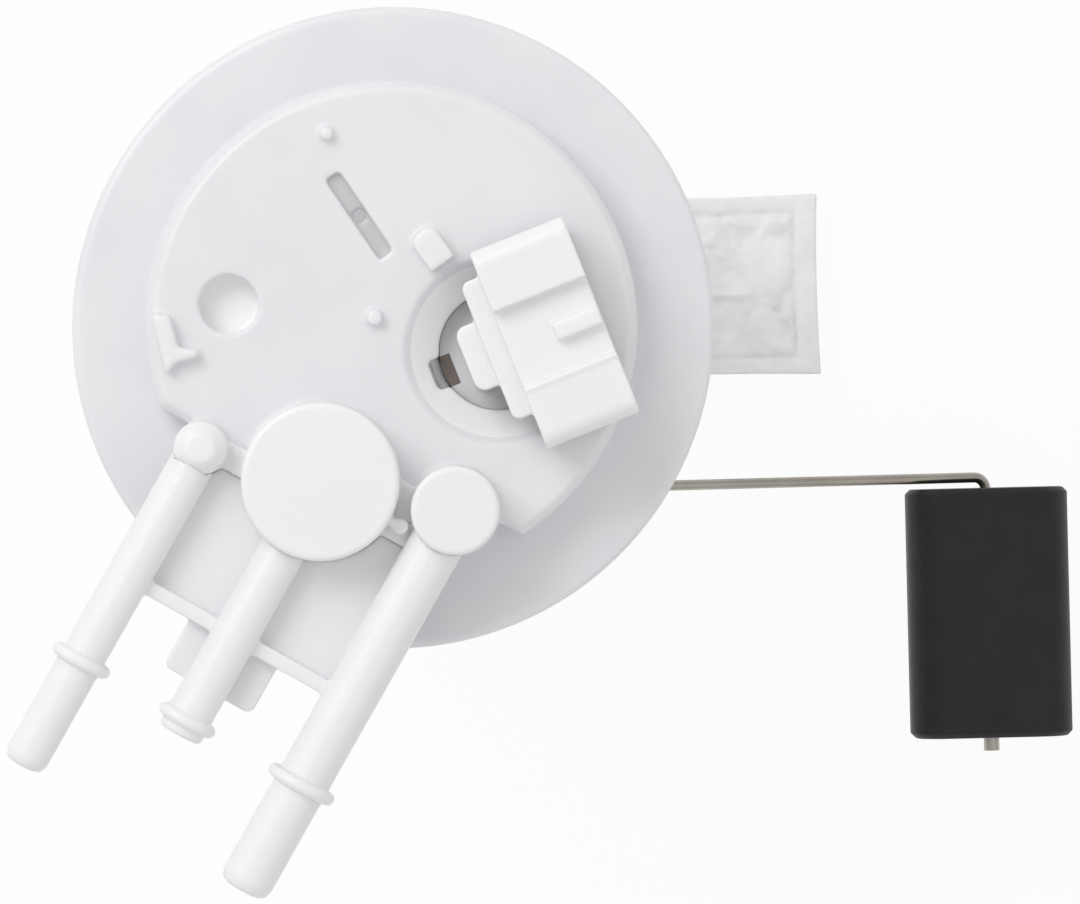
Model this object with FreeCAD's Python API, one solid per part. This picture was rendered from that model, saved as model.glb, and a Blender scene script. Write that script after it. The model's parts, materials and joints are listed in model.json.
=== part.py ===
import FreeCAD, Part
import math
import os

from FreeCAD import Vector

# Fuel pump module, millimetres. The origin is the centre of the flange's seat, +Z points up out of
# the tank, and +X is the way the level sender's arm points.

# Fits and small gaps
RUNNING_GAP = 0.05
LOOSE_GAP = 0.3
WALL_LAP = 1.0

# Cover: flange, spigot and dome
FLANGE_R = 58.0
FLANGE_T = 3.5
FLANGE_EDGE = 0.8
SPIGOT_R = 50.0
SPIGOT_WALL = 2.5
SPIGOT_DEPTH = 8.0
UNDER_RECESS = 0.4
SEAL_WIDTH = 4.6
SEAL_HEIGHT = 2.4
SEAL_GROOVE = 1.6
SEAL_EDGE = 0.4
DOME_R = 44.0
DOME_TOP = 14.5
DOME_EDGE = 1.5
COVER_WALL = 3.0

# Nozzles, in axes turned so that the first runs along them
NOZZLE_HEADING = 239.2
PIPE_Z = 20.0
BEAD_ALONG = 78.8
BEAD_T = 2.2
TIP_LENGTH = 21.6
TIP_END = BEAD_ALONG + TIP_LENGTH
VAPOUR_TIP_LENGTH = 3.0
VAPOUR_END = BEAD_ALONG + VAPOUR_TIP_LENGTH
NOSE_RADIUS = 2.0
NOSE_WAIST = 0.29
BEAD_EDGE = 0.3
RETURN_R = 3.97
RETURN_ROOT_R = 4.1
RETURN_BEAD_R = 5.7
RETURN_BORE_R = 2.0
RETURN_ALONG, RETURN_ACROSS = 35.5, -18.7
FEED_R = 4.765
FEED_ROOT_R = 4.95
FEED_BEAD_R = 6.55
FEED_BORE_R = 2.4
BORE_STEP = 0.4
FEED_ALONG, FEED_ACROSS = 22.9, 26.2
VAPOUR_R = 4.15
VAPOUR_BEAD_R = 5.55
VAPOUR_BORE_R = 2.5
VAPOUR_NOSE = 0.8
VENT_ALONG, VENT_ACROSS = 30.2, 2.9
FRONT_WALL = 32.9
STEP_WALL = 21.0
TOWER_R = 7.9
TOWER_TOP = 25.6
TOWER_CAP_T = 1.5
CAP_EDGE = 0.6
ELBOW_R = 4.8
ELBOW_ROUND = 2.2
BARB_CORE_R = 3.5
BARB_R = 4.1
BARB_LENGTH = 12.0

# Vent valve
VENT_R = 14.05
VENT_WALL = 2.2
VENT_TOP = 24.6
VENT_CAP_T = 2.6
VENT_HOUSING_BOTTOM = -21.0
VENT_HOUSING_WALL = 1.6
VENT_SLOT_W, VENT_SLOT_RISE, VENT_SLOT_TOP = 3.0, 8.0, -8.0
VENT_HOLE_R, VENT_HOLES = 1.2, 6
VENT_BOTTOM_T = 1.6
VENT_SEAT_Z = 8.0
VENT_SEAT_R = 2.6
VENT_FLOAT_TRAVEL = 3.0
VENT_FLOAT_LENGTH = 17.0
VENT_FLOAT_EDGE = 1.0
VENT_SPRING_R = 3.4
VENT_SPRING_WIRE = 0.35
VENT_SPRING_TURNS = 4

# Plate, lip and tab that tie the three pipes
PLATE_Z = 15.0
PLATE_T = 2.0
LIP_ALONG = 60.4
LIP_T = 2.7
LIP_H = 5.0
TAB_LENGTH = 9.6
TAB_WIDTH = 17.9
TAB_CENTRE = 3.25
TAB_CORNER = 1.5
WEB_T = 10.4
WEB_DROP = 1.0
THIN_WEB_T = 2.6
THIN_WEB_DROP = 1.5

# Small forms on the dome
POCKET_X, POCKET_Y, POCKET_R, POCKET_DEPTH = -29.0, 4.7, 5.35, 6.0
SLOT_X, SLOT_Y, SLOT_HEADING = -5.3, 20.0, -57.2
SLOT_LENGTH, SLOT_WIDTH, SLOT_DEPTH = 17.3, 3.1, 1.4
SLOT_HOLE_R = 1.2
BLOCK_X, BLOCK_Y, BLOCK_HEADING = 7.6, 13.7, -55.5
BLOCK_LENGTH, BLOCK_WIDTH, BLOCK_H = 7.0, 5.0, 4.5
BLOCK_ROUND = 1.8
PIN_H = 2.2
DOME_PINS = ((-10.7, 34.7, 1.2), (-2.9, 1.6, 1.4))
WEB_PIN_X, WEB_PIN_Y, WEB_PIN_R = 0.9, -35.7, 1.5
CLIP_H = 3.0

# Connector socket in the cover and the connector that stands in it
SOCKET_X, SOCKET_Y = 18.95, -4.66
CONNECTOR_HEADING = 20.4
SOCKET_RIM_R = 17.15
SOCKET_BORE_R = 10.7
SOCKET_DEPTH = 5.0
SLEEVE_WALL = 1.6
WINDOW_ALONG, WINDOW_WIDTH, WINDOW_LENGTH = -11.1, 3.0, 5.6
BARREL_TOP = 5.5
BARREL_BOTTOM = -5.0
BARREL_GAP = 0.3
HOOD_BACK, HOOD_FRONT = 1.6, 19.2
HOOD_SIDE = 18.55
HOOD_SHIFT = -1.15
HOOD_BOTTOM, HOOD_TOP = 16.0, 33.0
HOOD_WALL = 2.4
CHANNEL_HALF = 7.2
CHANNEL_DROP = 2.8
BACK_PLATE_T, BACK_PLATE_HALF, BACK_PLATE_TOP = 3.6, 13.0, 27.0
TONGUE_LENGTH, TONGUE_HALF, TONGUE_TOP = 4.1, 6.0, 24.0
NECK_HALF = 7.0
LUG_BACK, LUG_FRONT, LUG_HALF = 10.5, 19.0, 1.6
TERMINAL_COUNT, TERMINAL_PITCH = 4, 6.0
BLADE_WIDTH, BLADE_T, BLADE_REACH = 2.8, 0.8, 12.0
BLADE_Z = 24.5
RING_WIRE_R = 1.2
RING_LOW, RING_H, RING_EDGE = -0.2, 2.4, 0.5

# Guide rods, their springs and clips
ROD_ANGLES = (-22.0, 97.0, 177.0)
ROD_CIRCLE_R = 37.0
ROD_R = 3.0
ROD_TOP = 8.0
ROD_BOSS_R = 5.6
ROD_TAIL = 3.4
ROD_EDGE = 0.8
CLIP_T = 1.0
CLIP_R = 5.0
CLIP_NECK_R = 2.2
SPRING_R = 4.7
SPRING_WIRE_R = 0.6
SPRING_TURNS = 6
WIRE_SIDES = 6

# Reservoir
BUCKET_R = 46.0
BUCKET_WALL = 2.2
BUCKET_FLAT_Y = -24.0
BUCKET_TOP = -62.0
BUCKET_BOTTOM = -160.0
FLOOR_T = 2.5
BUCKET_EDGE = 1.6
FOOT_LENGTH = 13.0
FOOT_BOTTOM = BUCKET_BOTTOM - FOOT_LENGTH
FOOT_R = 3.6
FOOT_PLACES = ((24.0, 36.5), (-24.0, 36.5), (-39.0, 4.0), (-30.0, -18.0), (30.0, -18.0))
LID_T = 2.5
LID_EDGE = 0.8
LID_RING_H = 4.0
LID_RING_T = 2.0
LID_BOSS_TOP = -56.0
LID_BOSS_BOTTOM = -78.0
LID_BOSS_R = 5.2
OVERFLOW_X, OVERFLOW_Y, OVERFLOW_R = 24.4, 19.1, 7.0
OVERFLOW_WALL, OVERFLOW_H = 1.6, 2.5
RETURN_STUB_X, RETURN_STUB_Y = -28.0, -12.0
RETURN_STUB_TOP = -44.0
RETURN_STUB_RISE = 10.0
RETURN_STUB_BOTTOM = BUCKET_BOTTOM + RETURN_STUB_RISE
BUCKET_TRAVEL = 30.0
VALVE_X, VALVE_Y, VALVE_R = -31.0, 12.0, 6.0
VALVE_STEM_R = 1.6
VALVE_HOLE_R, VALVE_HOLE_CIRCLE_R, VALVE_HOLES = 1.1, 3.6, 6

# Electric pump, upright in the reservoir
PUMP_X, PUMP_Y = 0.0, 6.0
PUMP_R = 19.0
SHELL_WALL = 1.2
CRIMP_R = 16.2
PUMP_STAND = 10.0
PUMP_BOTTOM, PUMP_TOP = BUCKET_BOTTOM + PUMP_STAND, -62.0
INLET_END_T = 7.8
INLET_OFFSET = 9.0
INLET_NIPPLE_R = 4.5
INLET_NIPPLE_LENGTH = 9.0
INLET_NIPPLE_END = PUMP_BOTTOM - INLET_NIPPLE_LENGTH
INLET_BORE_R = 3.0
SHAFT_R = 2.0
BEARING_DEPTH = 3.0
IMPELLER_T = 3.6
IMPELLER_R = 15.4
IMPELLER_GAP = 0.3
VANE_COUNT = 18
CASTING_T = 4.5
MAGNET_R, MAGNET_T, MAGNET_SPAN = 17.75, 3.2, 126.0
MAGNET_RISE, MAGNET_DROP = 22.0, 28.0
MAGNET_BOTTOM, MAGNET_TOP = PUMP_BOTTOM + MAGNET_RISE, PUMP_TOP - MAGNET_DROP
ARMATURE_R = 14.1
ARMATURE_INSET = 2.0
ARMATURE_BOTTOM, ARMATURE_TOP = MAGNET_BOTTOM + ARMATURE_INSET, MAGNET_TOP - ARMATURE_INSET
ARMATURE_SLOTS, ARMATURE_SLOT_W, ARMATURE_SLOT_D = 8, 1.6, 5.0
COMMUTATOR_R, COMMUTATOR_H = 8.0, 6.0
BRUSH_W, BRUSH_L, BRUSH_OFFSET = 5.0, 5.0, 4.8
OUTLET_END_BOTTOM = -75.0
OUTLET_BOSS_R = 12.0
OUTLET_BOSS_TOP = -57.5
OUTLET_EDGE = 1.0
OUTLET_X, OUTLET_Y = 6.0, -6.0
OUTLET_TOP = -44.0
PLUG_X, PLUG_Y = -4.5, 4.0
PLUG_LENGTH, PLUG_WIDTH, PLUG_H = 12.0, 6.0, 8.0
PIN_BLADE_PITCH = 5.6
ISOLATOR_T = 2.2
ISOLATOR_GRIP = 16.0
ISOLATOR_TOP = PUMP_BOTTOM + ISOLATOR_GRIP
ISOLATOR_RIBS = 12
ISOLATOR_RIB_R = 0.7

# Strainer under the reservoir
SOCK_H, SOCK_GAP = 8.0, 2.5
SOCK_Z = BUCKET_BOTTOM - SOCK_GAP - SOCK_H / 2
SOCK_INNER_END, SOCK_OUTER_END = -16.0, 85.0
SOCK_CENTRE_Y = 10.55
SOCK_INNER_WIDTH, SOCK_OUTER_WIDTH = 35.6, 37.7
SOCK_BORDER = 3.5
SOCK_BORDER_T = 1.0
SOCK_ROUND = 3.0
NECK_R = 7.4
NECK_DROP = 1.5
NECK_TOP = PUMP_BOTTOM - NECK_DROP
NECK_FLANGE_R, NECK_FLANGE_T = 11.0, 1.6

# Level sender on the reservoir's flat side
PIVOT_X, PIVOT_Z = 0.0, -105.0
SENDER_LEFT, SENDER_RIGHT = -17.0, 20.0
SENDER_BOTTOM, SENDER_TOP = -124.0, -80.0
SENDER_T = 2.5
SENDER_RIM, SENDER_RIM_T = 2.5, 1.4
JOURNAL_R = 4.0
HUB_R = 7.0
HUB_DISC_T = 2.4
CHEEK_T = 1.6
CHEEK_LENGTH = 9.0
STOP_CIRCLE_R = 9.5
STOP_R = 1.5
STOP_REST_ANGLE = 250.0
ARM_SWING = 60.0
ARM_REST_ANGLE = -20.0
ARM_Y = -30.5
WIRE_R = 1.05
ARM_LENGTH = 124.8
ARM_BEND_R = 2.5
CARD_LEFT, CARD_RIGHT = -13.5, 15.0
CARD_BOTTOM, CARD_TOP = -93.0, -83.0
CARD_T = 0.8
WIPER_REST_ANGLE = 55.0
WIPER_REACH = 18.5
WIPER_W, WIPER_T = 2.4, 0.4
SENDER_PLUG_X, SENDER_PLUG_W, SENDER_PLUG_H, SENDER_PLUG_T = 11.0, 8.0, 9.0, 5.0
SENDER_PLUG_GAP = 0.6

# Float
FLOAT_LENGTH, FLOAT_WIDTH, FLOAT_H = 33.0, 51.0, 18.0
FLOAT_SHOULDER = 7.0
FLOAT_EDGE = 1.0
FLOAT_NEAR_Y = -32.7
RETAINER_R, RETAINER_T = 1.6, 2.6

# Hoses and wires
HOSE_WALL = 0.9
LEAD_R = 0.9
TUBE_SIDES = 10
LEAD_PITCH = 2.4
FEED_HOSE_BENDS = -22.0, -32.0
RETURN_HOSE_BENDS = -20.0, -34.0
LEAD_DROP_Z = -16.0
PUMP_LEAD_X, PUMP_LEAD_Y = 17.0, 1.0
PUMP_LEAD_BEND = 7.0, 11.0, -27.0
PUMP_LEAD_LAST_BEND_Z = -36.0
SENDER_LEAD_X, SENDER_LEAD_Y = 22.0, -9.0
SENDER_LEAD_BEND_X, SENDER_LEAD_BEND_Z = 21.0, -36.0
SENDER_LEAD_LAST_BEND_Z = -56.0
SENDER_LEAD_CLEARANCE = 3.0


def polar(radius, angle):
    """The X and Y of a place at a radius and an angle about the origin."""
    return radius * math.cos(math.radians(angle)), radius * math.sin(math.radians(angle))


def cylinder(radius, z0, z1, x=0.0, y=0.0):
    """An upright cylinder between two heights."""
    return Part.makeCylinder(radius, z1 - z0, Vector(x, y, z0))


def ring(outer, inner, z0, z1, x=0.0, y=0.0):
    """An upright tube between two heights."""
    return cylinder(outer, z0, z1, x, y).cut(cylinder(inner, z0, z1, x, y))


def block(x0, x1, y0, y1, z0, z1):
    """A box between two corners."""
    return Part.makeBox(x1 - x0, y1 - y0, z1 - z0, Vector(x0, y0, z0))


def prism(points, z0, z1):
    """A closed outline in plan, raised between two heights."""
    corners = [Vector(x, y, z0) for x, y in points]
    return Part.Face(Part.makePolygon(corners + corners[:1])).extrude(Vector(0, 0, z1 - z0))


def revolved(profile, axis=Vector(0, 0, 1)):
    """A closed outline of radius and height turned about an axis through the origin."""
    if axis.z:
        corners = [Vector(r, 0, h) for r, h in profile]
    else:
        corners = [Vector(h, 0, r) for r, h in profile]
    face = Part.Face(Part.makePolygon(corners + corners[:1]))
    return face.revolve(Vector(0, 0, 0), axis, 360)


def placed(shape, heading=0.0, x=0.0, y=0.0, z=0.0):
    """A shape turned about Z, then moved."""
    spin = FreeCAD.Rotation(Vector(0, 0, 1), heading)
    moved = shape.copy()
    moved.Placement = FreeCAD.Placement(Vector(x, y, z), spin).multiply(moved.Placement)
    return moved


def on_nozzles(shape):
    """A shape made in the nozzles' own axes, turned into place."""
    return placed(shape, NOZZLE_HEADING)


def on_connector(shape):
    """A shape made in the connector's own axes, turned and moved into its socket."""
    return placed(shape, CONNECTOR_HEADING, SOCKET_X, SOCKET_Y)


def nozzle_place(along, across):
    """Where a place in the nozzles' axes lies in plan."""
    x, y = polar(1.0, NOZZLE_HEADING)
    return along * x - across * y, along * y + across * x


def soften(shape, radius, chosen):
    """Round every edge that the test picks."""
    return shape.makeFillet(radius, [edge for edge in shape.Edges if chosen(edge)])


def bevel(shape, size, chosen):
    """Chamfer every edge that the test picks."""
    return shape.makeChamfer(size, [edge for edge in shape.Edges if chosen(edge)])


def upright(edge):
    """Whether an edge runs along Z."""
    box = edge.BoundBox
    return box.ZLength > 0.5 and box.XLength < 1e-3 and box.YLength < 1e-3


def at_height(z):
    """A test for edges that lie flat at a height."""
    return lambda edge: abs(edge.BoundBox.ZMin - z) < 1e-3 and abs(edge.BoundBox.ZMax - z) < 1e-3


def joined(shapes):
    """One solid from several that meet, with needless seams taken out."""
    whole = shapes[0].fuse(list(shapes[1:])) if len(shapes) > 1 else shapes[0]
    return whole.removeSplitter()


def rod_places():
    """Where the three guide rods stand in plan."""
    return [polar(ROD_CIRCLE_R, angle) for angle in ROD_ANGLES]


def route_wire(points):
    """Straight runs joined by tangent arcs, each as large as its two runs allow."""
    places = [Vector(*p) for p in points]
    edges, start = [], places[0]
    for before, corner, after in zip(places, places[1:], places[2:]):
        back, ahead = (before - corner), (after - corner)
        shorter = min(back.Length, ahead.Length)
        turn = math.pi - back.getAngle(ahead)
        reach = 0.45 * shorter
        radius = reach / math.tan(turn / 2)
        back.normalize()
        ahead.normalize()
        first, last = corner + back * reach, corner + ahead * reach
        middle = back + ahead
        middle.normalize()
        top = corner + middle * (math.hypot(radius, reach) - radius)
        edges.append(Part.LineSegment(start, first).toShape())
        edges.append(Part.Arc(first, top, last).toShape())
        print("  bend radius %.1f" % radius)
        start = last
    edges.append(Part.LineSegment(start, places[-1]).toShape())
    return Part.Wire(edges)


def tube_along(points, outer, inner=0.0):
    """A many-sided tube, or a rod when the inner radius is nothing, along a route that starts upright."""
    path = route_wire(points)
    start = Vector(*points[0])

    def swept(radius):
        corner_r = radius / math.cos(math.pi / TUBE_SIDES)
        corners = [start + Vector(*polar(corner_r, 360.0 / TUBE_SIDES * step), 0)
                   for step in range(TUBE_SIDES)]
        return path.makePipeShell([Part.makePolygon(corners + corners[:1])], True, False)

    solid = swept(outer)
    return solid.cut(swept(inner)) if inner else solid


def coil(radius, wire, turns, z0, z1, x, y):
    """A compression spring's wire between two heights."""
    height = z1 - z0 - 2 * wire
    helix = Part.makeHelix(height / turns, height, radius)
    corners = [Vector(radius + wire * math.cos(math.radians(a)), 0, wire * math.sin(math.radians(a)))
               for a in range(0, 361, 360 // WIRE_SIDES)]
    spring = Part.Wire(helix.Edges).makePipeShell([Part.makePolygon(corners)], True, True)
    spring.translate(Vector(x, y, z0 + wire))
    return spring


def nozzle(root_r, tip_r, bead_r, start, end, across, nose):
    """A tapered pipe with its locking bead and parallel tip, in the nozzles' axes."""
    bead0, bead1 = BEAD_ALONG - BEAD_T / 2, BEAD_ALONG + BEAD_T / 2
    waist = nose * NOSE_WAIST
    body = revolved(
        ((0, start), (root_r, start), (tip_r, bead0), (tip_r, end - nose),
         (tip_r - waist, end - waist), (tip_r - nose, end), (0, end)), Vector(1, 0, 0)
    )
    edge = BEAD_T * BEAD_EDGE
    bead = revolved(
        ((0, bead0), (bead_r - edge, bead0), (bead_r, bead0 + edge), (bead_r, bead1 - edge),
         (bead_r - edge, bead1), (0, bead1)), Vector(1, 0, 0)
    )
    return [placed(s, 0.0, 0.0, across, PIPE_Z) for s in (body, bead)]


def lying_bore(radius, start, end, across):
    """The passage of a nozzle, in the nozzles' axes."""
    return Part.makeCylinder(radius, end - start, Vector(start, across, PIPE_Z), Vector(1, 0, 0))


def dome_block(inset, z0, z1):
    """The dome's round plan with its stepped front, drawn in all round by an inset."""
    far = 2 * DOME_R
    plan = cylinder(DOME_R - inset, z0, z1)
    plan = plan.cut(block(FRONT_WALL - inset, far, -far, far, z0, z1))
    return plan.cut(block(STEP_WALL - inset, far, FEED_ACROSS - inset, far, z0, z1))


def hose_barb(x, y, z_root):
    """A hose tail with two barbs that hangs below a height."""
    tail = cylinder(BARB_CORE_R, z_root - BARB_LENGTH, z_root, x, y)
    for level in (z_root - BARB_LENGTH + 1.0, z_root - BARB_LENGTH + 5.0):
        cone = Part.makeCone(BARB_CORE_R, BARB_R, 2.0, Vector(x, y, level))
        tail = tail.fuse(cone)
    return tail


def cover_shell():
    """Flange, seal groove, spigot and hollow dome."""
    flange = cylinder(FLANGE_R, 0.0, FLANGE_T)
    flange = bevel(flange, FLANGE_EDGE, at_height(FLANGE_T))
    spigot = ring(SPIGOT_R, SPIGOT_R - SPIGOT_WALL, -SPIGOT_DEPTH, WALL_LAP)
    dome = bevel(dome_block(0.0, 0.0, DOME_TOP), DOME_EDGE, at_height(DOME_TOP))
    hollow = dome_block(COVER_WALL, -WALL_LAP, DOME_TOP - COVER_WALL)
    groove = ring(SPIGOT_R + SEAL_WIDTH, SPIGOT_R, -WALL_LAP, SEAL_GROOVE)
    shell = flange.fuse(on_nozzles(dome)).cut(on_nozzles(hollow)).cut(groove)
    recess = cylinder(SPIGOT_R - SPIGOT_WALL, -WALL_LAP, UNDER_RECESS)
    return shell.cut(recess).fuse(spigot)


def cover_bosses():
    """Solid forms under the dome: connector dish, rod bosses and hose tails."""
    feed_x, feed_y = nozzle_place(FEED_ALONG, FEED_ACROSS)
    return_x, return_y = nozzle_place(RETURN_ALONG, RETURN_ACROSS)
    top = DOME_TOP - DOME_EDGE
    dish = cylinder(SOCKET_RIM_R + COVER_WALL, DOME_TOP - SOCKET_DEPTH - COVER_WALL, top)
    sleeve = cylinder(SOCKET_BORE_R + SLEEVE_WALL, BARREL_BOTTOM, top)
    bosses = [placed(dish, 0, SOCKET_X, SOCKET_Y), placed(sleeve, 0, SOCKET_X, SOCKET_Y)]
    bosses += [cylinder(ROD_BOSS_R, 0.0, top, x, y) for x, y in rod_places()]
    bosses.append(cylinder(POCKET_R + 2.0, DOME_TOP - POCKET_DEPTH - 2.0, top, POCKET_X, POCKET_Y))
    inside = dome_block(DOME_EDGE, -2 * SPIGOT_DEPTH, top)
    kept = [boss.common(on_nozzles(inside)) for boss in bosses]
    return kept + [hose_barb(feed_x, feed_y, WALL_LAP), hose_barb(return_x, return_y, WALL_LAP)]


def cover_towers():
    """The forms that carry the nozzles: return elbow, feed tower, vent can and the two webs between."""
    elbow_top = PIPE_Z + ELBOW_R
    elbow = cylinder(ELBOW_R, WALL_LAP, elbow_top, RETURN_ALONG, RETURN_ACROSS)
    parts = [
        bevel(elbow, ELBOW_ROUND, at_height(elbow_top)),
        cylinder(TOWER_R, WALL_LAP, TOWER_TOP, FEED_ALONG, FEED_ACROSS),
        cylinder(VENT_R, WALL_LAP, VENT_TOP, VENT_ALONG, VENT_ACROSS),
        block(FRONT_WALL - WALL_LAP, RETURN_ALONG + THIN_WEB_T / 2, RETURN_ACROSS, VENT_ACROSS,
              FLANGE_T, PIPE_Z - THIN_WEB_DROP),
        block(FEED_ALONG, FEED_ALONG + WEB_T, VENT_ACROSS, FEED_ACROSS, FLANGE_T, PIPE_Z - WEB_DROP),
    ]
    return [on_nozzles(part) for part in parts]


def nozzle_arms():
    """The three pipes with the plate, lip and tab that tie them, before they meet the towers."""
    parts = nozzle(RETURN_ROOT_R, RETURN_R, RETURN_BEAD_R, RETURN_ALONG, TIP_END,
                   RETURN_ACROSS, NOSE_RADIUS)
    parts += nozzle(FEED_ROOT_R, FEED_R, FEED_BEAD_R, FEED_ALONG, TIP_END,
                    FEED_ACROSS, NOSE_RADIUS)
    parts += nozzle(VAPOUR_R, VAPOUR_R, VAPOUR_BEAD_R, VENT_ALONG, VAPOUR_END,
                    VENT_ACROSS, VAPOUR_NOSE)
    lip_end = LIP_ALONG + LIP_T
    parts.append(block(FRONT_WALL, lip_end, RETURN_ACROSS, FEED_ACROSS,
                       PLATE_Z, PLATE_Z + PLATE_T))
    parts.append(block(LIP_ALONG, lip_end, RETURN_ACROSS, FEED_ACROSS, PLATE_Z, PLATE_Z + LIP_H))
    tab = block(lip_end - WALL_LAP, lip_end + TAB_LENGTH, TAB_CENTRE - TAB_WIDTH / 2,
                TAB_CENTRE + TAB_WIDTH / 2, PLATE_Z, PLATE_Z + PLATE_T)
    tab = soften(tab, TAB_CORNER, lambda e: upright(e) and e.BoundBox.XMax > lip_end + WALL_LAP)
    parts.append(tab)
    return [on_nozzles(part) for part in parts]


def nozzle_passages():
    """The three lying passages, from inside the towers to the nozzles' tips."""
    bores = [
        lying_bore(RETURN_BORE_R, RETURN_ALONG - 1, TIP_END + 1, RETURN_ACROSS),
        lying_bore(FEED_BORE_R, FEED_ALONG, TIP_END + 1, FEED_ACROSS),
        lying_bore(VAPOUR_BORE_R, VENT_ALONG, VAPOUR_END + 1, VENT_ACROSS),
    ]
    return [on_nozzles(bore) for bore in bores]


def make_nozzle_set():
    """The moulded arm of three nozzles that stands out from the cover's towers."""
    arms = nozzle_arms()
    body = arms[0].fuse(arms[1:])
    hidden = dome_block(0.0, 0.0, DOME_TOP)
    return body.cut(cover_towers() + [on_nozzles(hidden)] + nozzle_passages())


def dome_details():
    """Block, pins and L-shaped clip that stand on the dome."""
    base = DOME_TOP - WALL_LAP
    rest = block(-BLOCK_LENGTH / 2, BLOCK_LENGTH / 2, -BLOCK_WIDTH / 2, BLOCK_WIDTH / 2,
                 base, DOME_TOP + BLOCK_H)
    rest = soften(rest, BLOCK_ROUND, lambda e: upright(e) and e.BoundBox.XMin < 0)
    parts = [placed(rest, BLOCK_HEADING, BLOCK_X, BLOCK_Y)]
    parts += [cylinder(r, base, DOME_TOP + PIN_H, x, y) for x, y, r in DOME_PINS]
    parts.append(cylinder(WEB_PIN_R, FLANGE_T, PIPE_Z + PIN_H, WEB_PIN_X, WEB_PIN_Y))
    bar = ((-42.7, 3.3), (-39.3, 2.7), (-37.7, -4.5), (-40.3, -7.7))
    hook = ((-38.2, -2.9), (-34.3, -3.4), (-34.9, -4.8), (-38.6, -5.6))
    parts += [prism(outline, base - DOME_EDGE, DOME_TOP + CLIP_H) for outline in (bar, hook)]
    return parts


def cover_cuts():
    """Everything hollowed out of the cover: passages, socket, pocket, slot and rod holes."""
    feed_x, feed_y = nozzle_place(FEED_ALONG, FEED_ACROSS)
    return_x, return_y = nozzle_place(RETURN_ALONG, RETURN_ACROSS)
    vent_x, vent_y = nozzle_place(VENT_ALONG, VENT_ACROSS)
    cuts = [
        cylinder(RETURN_BORE_R + BORE_STEP, -BARB_LENGTH, PIPE_Z, return_x, return_y),
        cylinder(FEED_BORE_R + BORE_STEP, -BARB_LENGTH, TOWER_TOP, feed_x, feed_y),
        cylinder(TOWER_R - COVER_WALL, PIPE_Z + FEED_BORE_R + BORE_STEP, TOWER_TOP, feed_x, feed_y),
        cylinder(VENT_R - VENT_WALL, -WALL_LAP, VENT_SEAT_Z, vent_x, vent_y),
        cylinder(VENT_SEAT_R, VENT_SEAT_Z, PIPE_Z, vent_x, vent_y),
        cylinder(VENT_R - VENT_WALL, PIPE_Z - VAPOUR_BORE_R - BORE_STEP, VENT_TOP, vent_x, vent_y),
        cylinder(POCKET_R, DOME_TOP - POCKET_DEPTH, DOME_TOP + 1, POCKET_X, POCKET_Y),
    ]
    cuts += [cylinder(ROD_R, -1.0, ROD_TOP, x, y) for x, y in rod_places()]
    slot = block(-SLOT_LENGTH / 2, SLOT_LENGTH / 2, -SLOT_WIDTH / 2, SLOT_WIDTH / 2,
                 DOME_TOP - SLOT_DEPTH, DOME_TOP + 1)
    cuts.append(placed(slot, SLOT_HEADING, SLOT_X, SLOT_Y))
    cuts.append(cylinder(SLOT_HOLE_R, DOME_TOP - COVER_WALL - 1, DOME_TOP, SLOT_X, SLOT_Y))
    cone = Part.makeCone(SOCKET_BORE_R, SOCKET_RIM_R + 1.2, SOCKET_DEPTH + 1.0,
                         Vector(0, 0, DOME_TOP - SOCKET_DEPTH))
    window = block(WINDOW_ALONG - WINDOW_WIDTH / 2, WINDOW_ALONG + WINDOW_WIDTH / 2,
                   -WINDOW_LENGTH / 2, WINDOW_LENGTH / 2, BARREL_TOP - 2.0, DOME_TOP)
    bore = cylinder(SOCKET_BORE_R, BARREL_BOTTOM - 1, DOME_TOP)
    return cuts + nozzle_passages() + [on_connector(s) for s in (cone, bore, window)]


def make_cover():
    """The moulded cover with its towers, dome, socket and spigot."""
    body = cover_shell().fuse(cover_bosses() + cover_towers() + dome_details())
    vent_x, vent_y = nozzle_place(VENT_ALONG, VENT_ACROSS)
    body = body.fuse(cylinder(VENT_R, 0.0, DOME_TOP, vent_x, vent_y))
    return body.cut(cover_cuts())


def make_feed_elbow_cap():
    """The welded plug that closes the feed tower."""
    x, y = nozzle_place(FEED_ALONG, FEED_ACROSS)
    top = cylinder(TOWER_R, TOWER_TOP, TOWER_TOP + TOWER_CAP_T, x, y)
    top = bevel(top, CAP_EDGE, at_height(TOWER_TOP + TOWER_CAP_T))
    plug_r = TOWER_R - COVER_WALL - RUNNING_GAP
    return top.fuse(cylinder(plug_r, TOWER_TOP - 1.6, TOWER_TOP, x, y)).removeSplitter()


def make_vent_cap():
    """The welded lid of the vent can."""
    x, y = nozzle_place(VENT_ALONG, VENT_ACROSS)
    top = cylinder(VENT_R, VENT_TOP, VENT_TOP + VENT_CAP_T, x, y)
    top = bevel(top, CAP_EDGE, at_height(VENT_TOP + VENT_CAP_T))
    inner = VENT_R - VENT_WALL - RUNNING_GAP
    return top.fuse(ring(inner, inner - 1.5, VENT_TOP - 1.5, VENT_TOP, x, y)).removeSplitter()


def vent_sizes():
    """The vent housing's place and its outer and inner radius."""
    x, y = nozzle_place(VENT_ALONG, VENT_ACROSS)
    outer = VENT_R - VENT_WALL - RUNNING_GAP
    return x, y, outer, outer - VENT_HOUSING_WALL


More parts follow.
